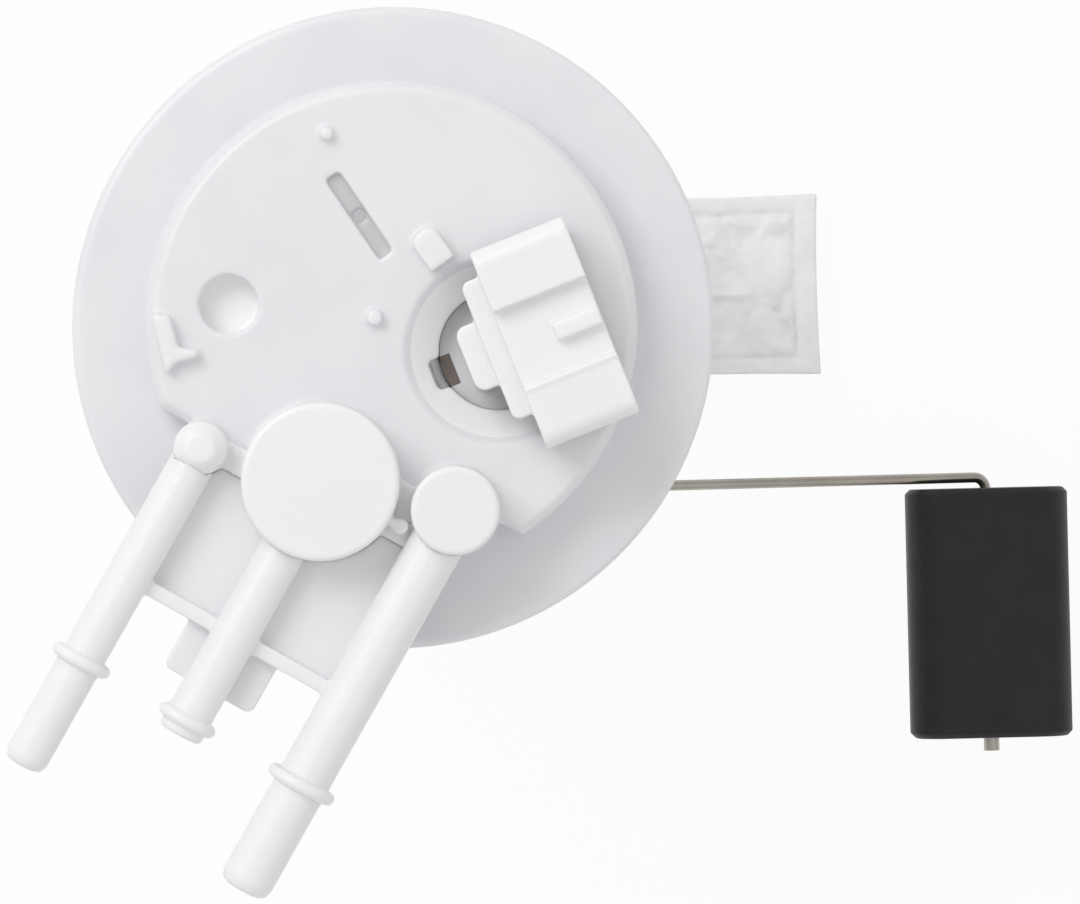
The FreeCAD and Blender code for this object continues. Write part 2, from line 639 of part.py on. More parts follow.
def make_vent_housing():
    """The cup under the vent can that guides the valve float, with slots for vapour."""
    x, y, outer, inner = vent_sizes()
    cup = ring(outer, inner, VENT_HOUSING_BOTTOM, VENT_SEAT_Z - 1.0, x, y)
    for heading in (0.0, 60.0, 120.0):
        slot = block(-2 * outer, 2 * outer, -VENT_SLOT_W / 2, VENT_SLOT_W / 2,
                     VENT_HOUSING_BOTTOM + VENT_SLOT_RISE, VENT_SLOT_TOP)
        cup = cup.cut(placed(slot, heading, x, y))
    return cup


def make_vent_bottom_cap():
    """The perforated disc that closes the vent housing and carries its spring."""
    x, y, outer, inner = vent_sizes()
    cap = cylinder(outer, VENT_HOUSING_BOTTOM - VENT_BOTTOM_T, VENT_HOUSING_BOTTOM, x, y)
    float_low, _, _ = vent_float_levels()
    plug = ring(inner - RUNNING_GAP, inner - 1.5, VENT_HOUSING_BOTTOM,
                float_low - 2 * RUNNING_GAP, x, y)
    post = cylinder(VENT_SPRING_R - 0.8, VENT_HOUSING_BOTTOM, VENT_HOUSING_BOTTOM + 1.5, x, y)
    cap = cap.fuse([plug, post])
    for step in range(VENT_HOLES):
        dx, dy = polar(inner * 0.62, 360.0 / VENT_HOLES * step)
        hole = cylinder(VENT_HOLE_R, VENT_HOUSING_BOTTOM - 2, VENT_HOUSING_BOTTOM, x + dx, y + dy)
        cap = cap.cut(hole)
    return cap


def vent_float_levels():
    """The valve float's lowest and highest height at rest, below its seat by its travel."""
    tip = VENT_SEAT_Z - VENT_FLOAT_TRAVEL - LOOSE_GAP
    return tip - 3.0 - VENT_FLOAT_LENGTH, tip - 3.0, tip


def make_vent_float():
    """The valve float: ribbed cylinder, open below for its spring, with a sealing tip."""
    x, y, _, inner = vent_sizes()
    low, shoulder, tip = vent_float_levels()
    body = cylinder(inner - 0.6, low, shoulder, x, y)
    body = bevel(body, VENT_FLOAT_EDGE, at_height(shoulder))
    cone = Part.makeCone(VENT_SEAT_R + 1.0, VENT_SEAT_R - 1.0, tip - shoulder,
                         Vector(x, y, shoulder))
    bore = cylinder(VENT_SPRING_R + VENT_SPRING_WIRE + 0.4, low, shoulder - 3.0, x, y)
    return body.fuse(cone).cut(bore).removeSplitter()


def make_vent_spring():
    """The light spring under the valve float."""
    x, y, _, _ = vent_sizes()
    _, shoulder, _ = vent_float_levels()
    return coil(VENT_SPRING_R, VENT_SPRING_WIRE, VENT_SPRING_TURNS,
                VENT_HOUSING_BOTTOM, shoulder - 3.0, x, y)


def make_flange_seal():
    """The rubber ring in the flange's groove, round the spigot."""
    outer = SPIGOT_R + SEAL_WIDTH - RUNNING_GAP
    seal = ring(outer, SPIGOT_R + RUNNING_GAP, SEAL_GROOVE - SEAL_HEIGHT, SEAL_GROOVE)
    return bevel(seal, SEAL_EDGE, at_height(SEAL_GROOVE - SEAL_HEIGHT))


def connector_cavity():
    """The hollow that the vehicle's plug enters, in the connector's axes."""
    side = HOOD_SIDE - HOOD_WALL
    return block(HOOD_BACK + HOOD_WALL, HOOD_FRONT + 1, HOOD_SHIFT - side, HOOD_SHIFT + side,
                 HOOD_BOTTOM + HOOD_WALL, HOOD_TOP - CHANNEL_DROP - HOOD_WALL)


def terminal_places():
    """Where the terminals stand across the connector."""
    first = HOOD_SHIFT - TERMINAL_PITCH * (TERMINAL_COUNT - 1) / 2
    return [first + TERMINAL_PITCH * step for step in range(TERMINAL_COUNT)]


def make_connector_body():
    """The hooded connector: barrel, neck, back plate, tongue, hood and its two top rails."""
    barrel_r = SOCKET_BORE_R - BARREL_GAP
    barrel = cylinder(barrel_r, BARREL_BOTTOM, BARREL_TOP)
    barrel = barrel.cut(ring(barrel_r, barrel_r - RING_WIRE_R, RING_LOW, RING_LOW + RING_H))
    neck = block(HOOD_BACK - BACK_PLATE_T, NECK_HALF, -NECK_HALF, NECK_HALF, BARREL_TOP, HOOD_BOTTOM + 1)
    hood = block(HOOD_BACK, HOOD_FRONT, HOOD_SHIFT - HOOD_SIDE, HOOD_SHIFT + HOOD_SIDE,
                 HOOD_BOTTOM, HOOD_TOP)
    hood = soften(hood, 3.0, lambda e: e.BoundBox.XLength > 5 and e.BoundBox.ZMin > HOOD_TOP - 1)
    hood = soften(hood, 1.5, lambda e: e.BoundBox.XLength > 5 and e.BoundBox.ZMax < HOOD_BOTTOM + 1)
    channel = block(HOOD_BACK - 1, HOOD_FRONT + 1, HOOD_SHIFT - CHANNEL_HALF,
                    HOOD_SHIFT + CHANNEL_HALF, HOOD_TOP - CHANNEL_DROP, HOOD_TOP + 1)
    back = block(HOOD_BACK - BACK_PLATE_T, HOOD_BACK, -BACK_PLATE_HALF, BACK_PLATE_HALF,
                 HOOD_BOTTOM, BACK_PLATE_TOP)
    back = soften(back, 1.5, lambda e: upright(e) and e.BoundBox.XMax < HOOD_BACK - 1)
    tongue_back = HOOD_BACK - BACK_PLATE_T - TONGUE_LENGTH
    tongue = block(tongue_back, HOOD_BACK, -TONGUE_HALF, TONGUE_HALF, BARREL_TOP, TONGUE_TOP)
    tongue = soften(tongue, 2.0, lambda e: upright(e) and e.BoundBox.XMax < tongue_back + 1)
    lug = prism(((LUG_BACK, -LUG_HALF), (LUG_FRONT, -LUG_HALF), (LUG_FRONT, LUG_HALF),
                 (LUG_BACK, LUG_HALF)), HOOD_TOP - CHANNEL_DROP - 0.5, HOOD_TOP - 0.4)
    lug = placed(lug, 0, 0, HOOD_SHIFT)
    ridge = block(HOOD_BACK, HOOD_FRONT, HOOD_SHIFT - CHANNEL_HALF - 0.8,
                  HOOD_SHIFT - CHANNEL_HALF, HOOD_TOP - CHANNEL_DROP - 0.5, HOOD_TOP + 0.5)
    body = hood.cut(channel).fuse([barrel, neck, back, tongue, lug, ridge])
    body = body.cut(connector_cavity())
    return on_connector(body.removeSplitter())


def make_connector_terminals():
    """Four blades in the hood, each bent down through the barrel."""
    blades = []
    for across in terminal_places():
        blade = block(HOOD_BACK + HOOD_WALL, BLADE_REACH, across - BLADE_WIDTH / 2,
                      across + BLADE_WIDTH / 2, BLADE_Z - BLADE_T / 2, BLADE_Z + BLADE_T / 2)
        tip = soften(blade, 0.3, lambda e: e.BoundBox.XMin > BLADE_REACH - 0.01 and
                     e.BoundBox.YLength > 1)
        blades.append(on_connector(tip))
    return blades


def make_connector_seal():
    """The O-ring between the barrel and the cover's bore."""
    inner = SOCKET_BORE_R - BARREL_GAP - RING_WIRE_R
    seal = ring(SOCKET_BORE_R, inner, RING_LOW + RUNNING_GAP, RING_LOW + RING_H - RUNNING_GAP)
    return on_connector(bevel(seal, RING_EDGE, lambda e: e.BoundBox.XLength > 2 * SOCKET_BORE_R - 1e-3))


def make_guide_rod(x, y):
    """A steel rod pressed into the cover, grooved near its foot for its clip."""
    foot = LID_BOSS_BOTTOM - LOOSE_GAP - CLIP_T - ROD_TAIL
    rod = cylinder(ROD_R, foot, ROD_TOP, x, y)
    rod = bevel(rod, ROD_EDGE, at_height(foot))
    groove_top = LID_BOSS_BOTTOM - LOOSE_GAP
    return rod.cut(ring(ROD_R + 1, CLIP_NECK_R, groove_top - CLIP_T, groove_top, x, y))


def make_rod_clip(x, y):
    """The open ring that snaps into the rod's groove and stops the reservoir."""
    top = LID_BOSS_BOTTOM - LOOSE_GAP
    clip = ring(CLIP_R, CLIP_NECK_R, top - CLIP_T, top, 0, 0)
    mouth = block(0.0, CLIP_R + 1, -CLIP_NECK_R * 0.85, CLIP_NECK_R * 0.85, top - 2 * CLIP_T, top + 1)
    return placed(clip.cut(mouth), math.degrees(math.atan2(-y, -x)), x, y)


def make_rod_spring(x, y):
    """The compression spring round a rod, between the cover's boss and the lid's."""
    return coil(SPRING_R, SPRING_WIRE_R, SPRING_TURNS, LID_BOSS_TOP + RUNNING_GAP, -RUNNING_GAP, x, y)


def bucket_block(inset, z0, z1):
    """The reservoir's round plan with its flat side, drawn in all round by an inset."""
    far = 2 * BUCKET_R
    plan = cylinder(BUCKET_R - inset, z0, z1)
    plan = plan.cut(block(-far, far, -far, BUCKET_FLAT_Y + inset, z0, z1))
    corner = max(4.0 - inset, 1.0)
    return soften(plan, corner, upright)


def make_bucket():
    """The reservoir cup with its flat side, floor holes and feet."""
    cup = bucket_block(0.0, BUCKET_BOTTOM, BUCKET_TOP)
    cup = bevel(cup, BUCKET_EDGE, at_height(BUCKET_BOTTOM))
    cup = cup.cut(bucket_block(BUCKET_WALL, BUCKET_BOTTOM + FLOOR_T, BUCKET_TOP + 1))
    for x, y in FOOT_PLACES:
        foot = Part.makeCone(FOOT_R - 0.8, FOOT_R, BUCKET_BOTTOM + 1 - FOOT_BOTTOM,
                             Vector(x, y, FOOT_BOTTOM))
        cup = cup.fuse(foot)
    floor0, floor1 = BUCKET_BOTTOM - 1, BUCKET_BOTTOM + FLOOR_T + 1
    cup = cup.cut(cylinder(NECK_R + LOOSE_GAP, floor0, floor1, PUMP_X + INLET_OFFSET, PUMP_Y))
    cup = cup.cut(cylinder(VALVE_STEM_R, floor0, floor1, VALVE_X, VALVE_Y))
    for step in range(VALVE_HOLES):
        dx, dy = polar(VALVE_HOLE_CIRCLE_R, 360.0 / VALVE_HOLES * step)
        cup = cup.cut(cylinder(VALVE_HOLE_R, floor0, floor1, VALVE_X + dx, VALVE_Y + dy))
    return cup.removeSplitter()


def make_lid():
    """The reservoir's lid: locating ring, rod bosses, pump opening, overflow and return stub."""
    top = BUCKET_TOP + LID_T
    lid = bevel(bucket_block(0.0, BUCKET_TOP, top), LID_EDGE, at_height(top))
    gap = BUCKET_WALL + RUNNING_GAP
    skirt = bucket_block(gap, BUCKET_TOP - LID_RING_H, BUCKET_TOP)
    skirt = skirt.cut(bucket_block(gap + LID_RING_T, BUCKET_TOP - LID_RING_H - 1, BUCKET_TOP))
    bosses = [cylinder(LID_BOSS_R, LID_BOSS_BOTTOM, LID_BOSS_TOP, x, y) for x, y in rod_places()]
    stub = cylinder(BARB_CORE_R, RETURN_STUB_BOTTOM, RETURN_STUB_TOP, RETURN_STUB_X, RETURN_STUB_Y)
    for level in (RETURN_STUB_TOP - 3.0, RETURN_STUB_TOP - 7.0):
        cone = Part.makeCone(BARB_R, BARB_CORE_R, 2.0, Vector(RETURN_STUB_X, RETURN_STUB_Y, level))
        stub = stub.fuse(cone)
    collar = cylinder(OVERFLOW_R + OVERFLOW_WALL, BUCKET_TOP, top + OVERFLOW_H, OVERFLOW_X, OVERFLOW_Y)
    lid = lid.fuse([skirt, stub, collar] + bosses)
    lid = lid.cut(cylinder(OVERFLOW_R, BUCKET_TOP - 5, top + OVERFLOW_H + 1, OVERFLOW_X, OVERFLOW_Y))
    lid = lid.cut(cylinder(OUTLET_BOSS_R + LOOSE_GAP, BUCKET_TOP - 5, top + 1, PUMP_X, PUMP_Y))
    lid = lid.cut(cylinder(RETURN_BORE_R, RETURN_STUB_BOTTOM - 1, RETURN_STUB_TOP + 1,
                           RETURN_STUB_X, RETURN_STUB_Y))
    for x, y in rod_places():
        lid = lid.cut(cylinder(ROD_R + RUNNING_GAP, LID_BOSS_BOTTOM - 1, LID_BOSS_TOP + 1, x, y))
    return lid.removeSplitter()


def make_fill_valve():
    """The rubber umbrella that lets fuel into the reservoir through the floor."""
    floor = BUCKET_BOTTOM + FLOOR_T
    cap = revolved(((0, 0), (VALVE_R, 0), (VALVE_R, 0.6), (2.2, 1.8), (0, 1.8)))
    stem = cylinder(VALVE_STEM_R - RUNNING_GAP, -FLOOR_T - 2.5, 0.0)
    bulb = Part.makeCone(1.2, VALVE_STEM_R + 0.7, 2.0, Vector(0, 0, -FLOOR_T - 2.2))
    return placed(cap.fuse([stem, bulb]), 0, VALVE_X, VALVE_Y, floor)


def at_pump(shape):
    """A shape made about the pump's own axis, moved into place."""
    return placed(shape, 0, PUMP_X, PUMP_Y)


def pump_inner():
    """The bore of the pump's shell."""
    return PUMP_R - SHELL_WALL


def make_pump_shell():
    """The rolled steel shell, crimped over both ends."""
    inner = pump_inner()
    low, high = PUMP_BOTTOM, PUMP_TOP
    profile = ((CRIMP_R, low), (PUMP_R - 1.0, low), (PUMP_R, low + 1.0), (PUMP_R, high - 1.0),
               (PUMP_R - 1.0, high), (CRIMP_R, high), (CRIMP_R, high - SHELL_WALL),
               (inner, high - SHELL_WALL), (inner, low + SHELL_WALL), (CRIMP_R, low + SHELL_WALL))
    return at_pump(revolved(profile))


def pump_levels():
    """Heights of the pump's inner stack, from its inlet end up."""
    inlet_low = PUMP_BOTTOM + SHELL_WALL
    inlet_top = inlet_low + INLET_END_T
    casting_low = inlet_top + IMPELLER_T + 2 * IMPELLER_GAP
    return inlet_low, inlet_top, casting_low, casting_low + CASTING_T


def make_inlet_end():
    """The pump's inlet end with its nipple, passage and shaft bearing."""
    low, top, _, _ = pump_levels()
    fit = pump_inner() - RUNNING_GAP
    end = cylinder(fit, low, top)
    end = end.fuse(cylinder(INLET_NIPPLE_R, INLET_NIPPLE_END, low, INLET_OFFSET, 0))
    end = end.cut(cylinder(INLET_BORE_R, INLET_NIPPLE_END - 1, top, INLET_OFFSET, 0))
    return at_pump(end.cut(cylinder(SHAFT_R + RUNNING_GAP, top - BEARING_DEPTH, top)))


def make_pump_casting():
    """The plate over the impeller, with its rim and outlet passage."""
    _, inlet_top, low, top = pump_levels()
    fit = pump_inner() - RUNNING_GAP
    plate = cylinder(fit, inlet_top, top)
    plate = plate.cut(cylinder(IMPELLER_R + IMPELLER_GAP, inlet_top, low))
    plate = plate.cut(cylinder(INLET_BORE_R, low, top, -INLET_OFFSET, 0))
    return at_pump(plate.cut(cylinder(SHAFT_R + RUNNING_GAP, low, top)))


def make_impeller():
    """The turbine wheel with its rim of vanes."""
    _, inlet_top, low, _ = pump_levels()
    z0, z1 = inlet_top + IMPELLER_GAP, low - IMPELLER_GAP
    wheel = ring(IMPELLER_R, SHAFT_R, z0, z1)
    cutter = block(IMPELLER_R - 2.6, IMPELLER_R + 1, -0.9, 0.9, z0 - 1, z1 + 1)
    vanes = [placed(cutter, 360.0 / VANE_COUNT * step) for step in range(VANE_COUNT)]
    return at_pump(wheel.cut(vanes))


def make_armature_shaft():
    """The steel shaft from the inlet bearing to the outlet bearing."""
    _, inlet_top, _, _ = pump_levels()
    bottom = inlet_top - BEARING_DEPTH + LOOSE_GAP
    return at_pump(cylinder(SHAFT_R, bottom, OUTLET_END_BOTTOM + BEARING_DEPTH - LOOSE_GAP))


def make_armature():
    """The slotted core, fixed on the shaft."""
    core = ring(ARMATURE_R, SHAFT_R, ARMATURE_BOTTOM, ARMATURE_TOP)
    slot = block(ARMATURE_R - ARMATURE_SLOT_D, ARMATURE_R + 1, -ARMATURE_SLOT_W / 2,
                 ARMATURE_SLOT_W / 2, ARMATURE_BOTTOM - 1, ARMATURE_TOP + 1)
    slots = [placed(slot, 360.0 / ARMATURE_SLOTS * step) for step in range(ARMATURE_SLOTS)]
    return at_pump(core.cut(slots))


def make_commutator():
    """The copper ring that the brushes press on."""
    low = ARMATURE_TOP
    return at_pump(ring(COMMUTATOR_R, SHAFT_R, low, low + COMMUTATOR_H))


def make_magnets():
    """The two curved magnets inside the shell."""
    arcs = []
    face = ring(MAGNET_R, MAGNET_R - MAGNET_T, MAGNET_BOTTOM, MAGNET_TOP)
    side = 2 * MAGNET_R
    x, y = polar(side * 2, MAGNET_SPAN / 2)
    wedge = prism(((0, 0), (x, -y), (side * 3, 0), (x, y)), MAGNET_BOTTOM, MAGNET_TOP)
    for heading in (90.0, 270.0):
        arcs.append(at_pump(face.common(placed(wedge, heading))))
    return arcs


def make_brushes():
    """The two carbon brushes over the commutator."""
    low = ARMATURE_TOP + COMMUTATOR_H + 2 * RUNNING_GAP
    brush = block(-BRUSH_W / 2, BRUSH_W / 2, -BRUSH_L / 2, BRUSH_L / 2, low, OUTLET_END_BOTTOM)
    return [at_pump(placed(brush, 0, side * BRUSH_OFFSET, 0)) for side in (-1, 1)]


def make_outlet_end():
    """The pump's outlet end: bearing, raised boss and barbed outlet."""
    fit = pump_inner() - RUNNING_GAP
    ceiling = PUMP_TOP - SHELL_WALL
    end = cylinder(fit, OUTLET_END_BOTTOM, ceiling)
    boss = cylinder(OUTLET_BOSS_R, ceiling, OUTLET_BOSS_TOP)
    boss = bevel(boss, OUTLET_EDGE, at_height(OUTLET_BOSS_TOP))
    stem = cylinder(BARB_CORE_R, OUTLET_BOSS_TOP - 1, OUTLET_TOP, OUTLET_X, OUTLET_Y)
    for level in (OUTLET_TOP - 3.0, OUTLET_TOP - 7.0):
        stem = stem.fuse(Part.makeCone(BARB_R, BARB_CORE_R, 2.0, Vector(OUTLET_X, OUTLET_Y, level)))
    end = end.fuse([boss, stem])
    end = end.cut(cylinder(FEED_BORE_R, OUTLET_END_BOTTOM - 1, OUTLET_TOP + 1,
                           OUTLET_X, OUTLET_Y))
    return at_pump(end.cut(cylinder(SHAFT_R + RUNNING_GAP, OUTLET_END_BOTTOM,
                                    OUTLET_END_BOTTOM + BEARING_DEPTH)))


def plug_heading():
    """The way the pump's plug lies across the boss."""
    return math.degrees(math.atan2(PLUG_Y, PLUG_X)) + 90.0


def pump_blade(side, grow):
    """One of the pump's two blades, or its slot when grown, in the plug's axes."""
    across = side * PIN_BLADE_PITCH / 2
    return block(across - BLADE_WIDTH / 2 - grow, across + BLADE_WIDTH / 2 + grow,
                 -BLADE_T / 2 - grow, BLADE_T / 2 + grow, OUTLET_BOSS_TOP,
                 OUTLET_BOSS_TOP + PLUG_H - 3.0 + grow)


def at_plug(shape):
    """A shape made in the plug's axes, moved onto the pump."""
    return at_pump(placed(shape, plug_heading(), PLUG_X, PLUG_Y))


def make_pump_terminals():
    """The two brass blades that stand on the pump."""
    return [at_plug(pump_blade(side, 0.0)) for side in (-1, 1)]


def make_pump_plug():
    """The small plug on the blades."""
    plug = block(-PLUG_LENGTH / 2, PLUG_LENGTH / 2, -PLUG_WIDTH / 2, PLUG_WIDTH / 2,
                 OUTLET_BOSS_TOP, OUTLET_BOSS_TOP + PLUG_H)
    plug = soften(plug, 1.0, upright)
    return at_plug(plug.cut([pump_blade(side, RUNNING_GAP) for side in (-1, 1)]))


def make_isolator():
    """The ribbed rubber cup that the pump stands in."""
    floor = BUCKET_BOTTOM + FLOOR_T
    inner = PUMP_R + RUNNING_GAP
    outer = inner + ISOLATOR_T
    cup = ring(outer, inner, floor, ISOLATOR_TOP)
    ledge = ring(inner, inner - 6.0, floor, PUMP_BOTTOM)
    ledge = ledge.cut(cylinder(NECK_R + LOOSE_GAP, floor - 1, PUMP_BOTTOM + 1, INLET_OFFSET, 0))
    ribs = []
    for step in range(ISOLATOR_RIBS):
        x, y = polar(outer, 360.0 / ISOLATOR_RIBS * step)
        ribs.append(cylinder(ISOLATOR_RIB_R, floor, ISOLATOR_TOP, x, y))
    return at_pump(cup.fuse([ledge] + ribs).removeSplitter())


def sock_outline(border):
    """The strainer bag's plan, drawn in by a border."""
    inner_half = SOCK_INNER_WIDTH / 2 - border
    outer_half = SOCK_OUTER_WIDTH / 2 - border
    x0, x1 = SOCK_INNER_END + border, SOCK_OUTER_END - border
    return ((x0, SOCK_CENTRE_Y - inner_half), (x1, SOCK_CENTRE_Y - outer_half),
            (x1, SOCK_CENTRE_Y + outer_half), (x0, SOCK_CENTRE_Y + inner_half))


def make_sock():
    """The filter bag: a flat sealed border round a filled middle."""
    border = prism(sock_outline(0.0), SOCK_Z - SOCK_BORDER_T / 2, SOCK_Z + SOCK_BORDER_T / 2)
    border = soften(border, 2.0, upright)
    middle = prism(sock_outline(SOCK_BORDER), SOCK_Z - SOCK_H / 2, SOCK_Z + SOCK_H / 2)
    middle = soften(middle, SOCK_ROUND, lambda e: e.BoundBox.ZLength < 1e-3)
    return border.fuse(middle).removeSplitter()


def make_neck():
    """The strainer's moulded neck, pushed on the pump's inlet nipple."""
    x, y = PUMP_X + INLET_OFFSET, PUMP_Y
    base = SOCK_Z + SOCK_H / 2
    neck = cylinder(NECK_R, base, NECK_TOP, x, y)
    neck = neck.fuse(cylinder(NECK_FLANGE_R, base, base + NECK_FLANGE_T, x, y))
    return neck.cut(cylinder(INLET_NIPPLE_R + RUNNING_GAP, base - 1, NECK_TOP + 1, x, y))


def sender_face():
    """The Y of the sender plate's front face."""
    return BUCKET_FLAT_Y - SENDER_T


def across_bar(radius, y0, y1, x, z):
    """A round bar along Y between two places."""
    return Part.makeCylinder(radius, y1 - y0, Vector(x, y0, z), Vector(0, 1, 0))


def at_pivot(distance, angle):
    """The X and Z of a place at a distance and an angle from the sender's pivot."""
    x, z = polar(distance, angle)
    return PIVOT_X + x, PIVOT_Z + z


def stop_step():
    """The angle between two stop pins that all but touch."""
    return 2 * math.degrees(math.asin((STOP_R + LOOSE_GAP / 3) / STOP_CIRCLE_R))


def make_sender_bracket():
    """The sender's plate with its rim, bearing bore, stop pins and hooks."""
    front = sender_face()
    plate = block(SENDER_LEFT, SENDER_RIGHT, front, BUCKET_FLAT_Y, SENDER_BOTTOM, SENDER_TOP)
    plate = soften(plate, 3.0, lambda e: e.BoundBox.YLength > 1 and e.BoundBox.XLength < 1e-3
                   and e.BoundBox.ZLength < 1e-3)
    for x0 in (SENDER_LEFT, SENDER_RIGHT - SENDER_RIM_T):
        plate = plate.fuse(block(x0, x0 + SENDER_RIM_T, front - SENDER_RIM, front + 0.5,
                                 CARD_BOTTOM, SENDER_TOP - 4.0))
    for angle in (STOP_REST_ANGLE - stop_step(), STOP_REST_ANGLE + ARM_SWING + stop_step()):
        x, z = at_pivot(STOP_CIRCLE_R, angle)
        plate = plate.fuse(across_bar(STOP_R, front - HUB_DISC_T, front + 0.5, x, z))
    bore = across_bar(JOURNAL_R + RUNNING_GAP, front - 1, BUCKET_FLAT_Y + 1, PIVOT_X, PIVOT_Z)
    return plate.cut(bore).removeSplitter()


def make_resistor_card():
    """The ceramic card under the wiper."""
    front = sender_face()
    return block(CARD_LEFT, CARD_RIGHT, front - CARD_T, front, CARD_BOTTOM, CARD_TOP)


def make_sender_plug():
    """The sender's plug at the top of its plate."""
    front = sender_face()
    bottom = CARD_TOP + SENDER_PLUG_GAP
    plug = block(SENDER_PLUG_X - SENDER_PLUG_W / 2, SENDER_PLUG_X + SENDER_PLUG_W / 2,
                 front - SENDER_PLUG_T, front, bottom, bottom + SENDER_PLUG_H)
    return soften(plug, 0.8, lambda e: upright(e) and e.BoundBox.YMax < front - 1)


def hub_planes():
    """The Y of the hub disc's back and front faces."""
    back = sender_face() - LOOSE_GAP
    return back, ARM_Y + WIRE_R


def turned_at_pivot(shape, angle):
    """A shape drawn level from the pivot, turned up by an angle about the pivot's axis."""
    turned = shape.copy()
    turned.rotate(Vector(PIVOT_X, 0, PIVOT_Z), Vector(0, -1, 0), angle)
    return turned


def make_hub():
    """The arm's hub: journal, disc, stop lug and the two cheeks that grip the wire."""
    back, front = hub_planes()
    disc = across_bar(HUB_R, front, back, PIVOT_X, PIVOT_Z)
    journal = across_bar(JOURNAL_R, back - 0.5, BUCKET_FLAT_Y - LOOSE_GAP, PIVOT_X, PIVOT_Z)
    lug = block(PIVOT_X, PIVOT_X + STOP_CIRCLE_R, front, back, PIVOT_Z - STOP_R, PIVOT_Z + STOP_R)
    nose = across_bar(STOP_R, front, back, PIVOT_X + STOP_CIRCLE_R, PIVOT_Z)
    finger = turned_at_pivot(lug.fuse(nose), STOP_REST_ANGLE)
    cheeks = []
    for side in (-1, 1):
        z = PIVOT_Z + side * (WIRE_R + CHEEK_T / 2)
        cheek = block(PIVOT_X - 2, PIVOT_X + CHEEK_LENGTH, front - 2 * WIRE_R, front + 0.5,
                      z - CHEEK_T / 2, z + CHEEK_T / 2)
        cheeks.append(turned_at_pivot(cheek, ARM_REST_ANGLE))
    hub = disc.fuse([journal, finger] + cheeks)
    hole = across_bar(WIRE_R, front - 5, BUCKET_FLAT_Y - 1, PIVOT_X, PIVOT_Z)
    return hub.cut(hole).removeSplitter()


def make_arm_wire():
    """The steel wire: its end in the hub, the long arm and the turned end that carries the float."""
    end_y = FLOAT_NEAR_Y - FLOAT_WIDTH - LOOSE_GAP - RETAINER_T
    start = Vector(PIVOT_X, BUCKET_FLAT_Y - 1.2, PIVOT_Z)
    bend = ARM_BEND_R
    far_x = PIVOT_X + ARM_LENGTH
    root = Vector(PIVOT_X, ARM_Y, PIVOT_Z)
    inner = WIRE_R * 1.2
    slant = 1 - math.sqrt(0.5)
    edges = [
        Part.LineSegment(start, root + Vector(0, inner, 0)).toShape(),
        Part.Arc(root + Vector(0, inner, 0), root + Vector(inner * slant, inner * slant, 0),
                 root + Vector(inner, 0, 0)).toShape(),
        Part.LineSegment(root + Vector(inner, 0, 0), Vector(far_x - bend, ARM_Y, PIVOT_Z)).toShape(),
        Part.Arc(Vector(far_x - bend, ARM_Y, PIVOT_Z),
                 Vector(far_x - bend * slant, ARM_Y - bend * slant, PIVOT_Z),
                 Vector(far_x, ARM_Y - bend, PIVOT_Z)).toShape(),
        Part.LineSegment(Vector(far_x, ARM_Y - bend, PIVOT_Z), Vector(far_x, end_y, PIVOT_Z)).toShape(),
    ]
    circle = Part.Wire(Part.makeCircle(WIRE_R, start, Vector(0, 1, 0)))
    wire = Part.Wire(edges).makePipeShell([circle], True, False)
    return turned_at_pivot(wire, ARM_REST_ANGLE)


def make_wiper():
    """The spring-brass fingers that slide on the card."""
    back, _ = hub_planes()
    low = sender_face() - CARD_T - LOOSE_GAP
    fingers = []
    for side in (-1, 1):
        z = PIVOT_Z + side * WIPER_W * 0.4
        finger = block(PIVOT_X + HUB_R - 0.5, PIVOT_X + WIPER_REACH, low - WIPER_T, low,
                       z - WIPER_W * 0.25, z + WIPER_W * 0.25)
        fingers.append(finger)
    root = block(PIVOT_X + HUB_R, PIVOT_X + HUB_R + 2.0, low - WIPER_T, low,
                 PIVOT_Z - WIPER_W * 0.65, PIVOT_Z + WIPER_W * 0.65)
    return turned_at_pivot(joined([root] + fingers).cut(
        across_bar(HUB_R, low - 2, low + 2, PIVOT_X, PIVOT_Z)), WIPER_REST_ANGLE)


def float_centre():
    """The X and Z of the float's axis."""
    return at_pivot(ARM_LENGTH, ARM_REST_ANGLE)


def make_float():
    """The foam float: rounded slab with a bore for the wire."""
    x, z = float_centre()
    far = FLOAT_NEAR_Y - FLOAT_WIDTH
    slab = block(x - FLOAT_LENGTH / 2, x + FLOAT_LENGTH / 2, far, FLOAT_NEAR_Y,
                 z - FLOAT_H / 2, z + FLOAT_H / 2)
    slab = soften(slab, FLOAT_SHOULDER, lambda e: e.BoundBox.YLength > 5)
    slab = bevel(slab, FLOAT_EDGE, lambda e: e.BoundBox.YLength < 1e-3)
    return slab.cut(across_bar(WIRE_R + RUNNING_GAP, far - 1, FLOAT_NEAR_Y + 1, x, z))


def make_retainer():
    """The push-on ring that keeps the float on the wire."""
    x, z = float_centre()
    near = FLOAT_NEAR_Y - FLOAT_WIDTH - LOOSE_GAP
    body = across_bar(RETAINER_R, near - RETAINER_T, near, x, z)
    return body.cut(across_bar(WIRE_R, near - RETAINER_T, near, x, z))


def make_feed_hose():
    """The hose from the cover's feed tail to the pump's outlet."""
    x0, y0 = nozzle_place(FEED_ALONG, FEED_ACROSS)
    x1, y1 = PUMP_X + OUTLET_X, PUMP_Y + OUTLET_Y
    top, bottom = -LOOSE_GAP, OUTLET_TOP - BARB_LENGTH + 1.0
    bend, last_bend = FEED_HOSE_BENDS
    points = ((x0, y0, top), (x0, y0, bend), (x1, y1, last_bend), (x1, y1, bottom))
    inner = BARB_R + RUNNING_GAP
    return tube_along(points, inner + HOSE_WALL, inner)


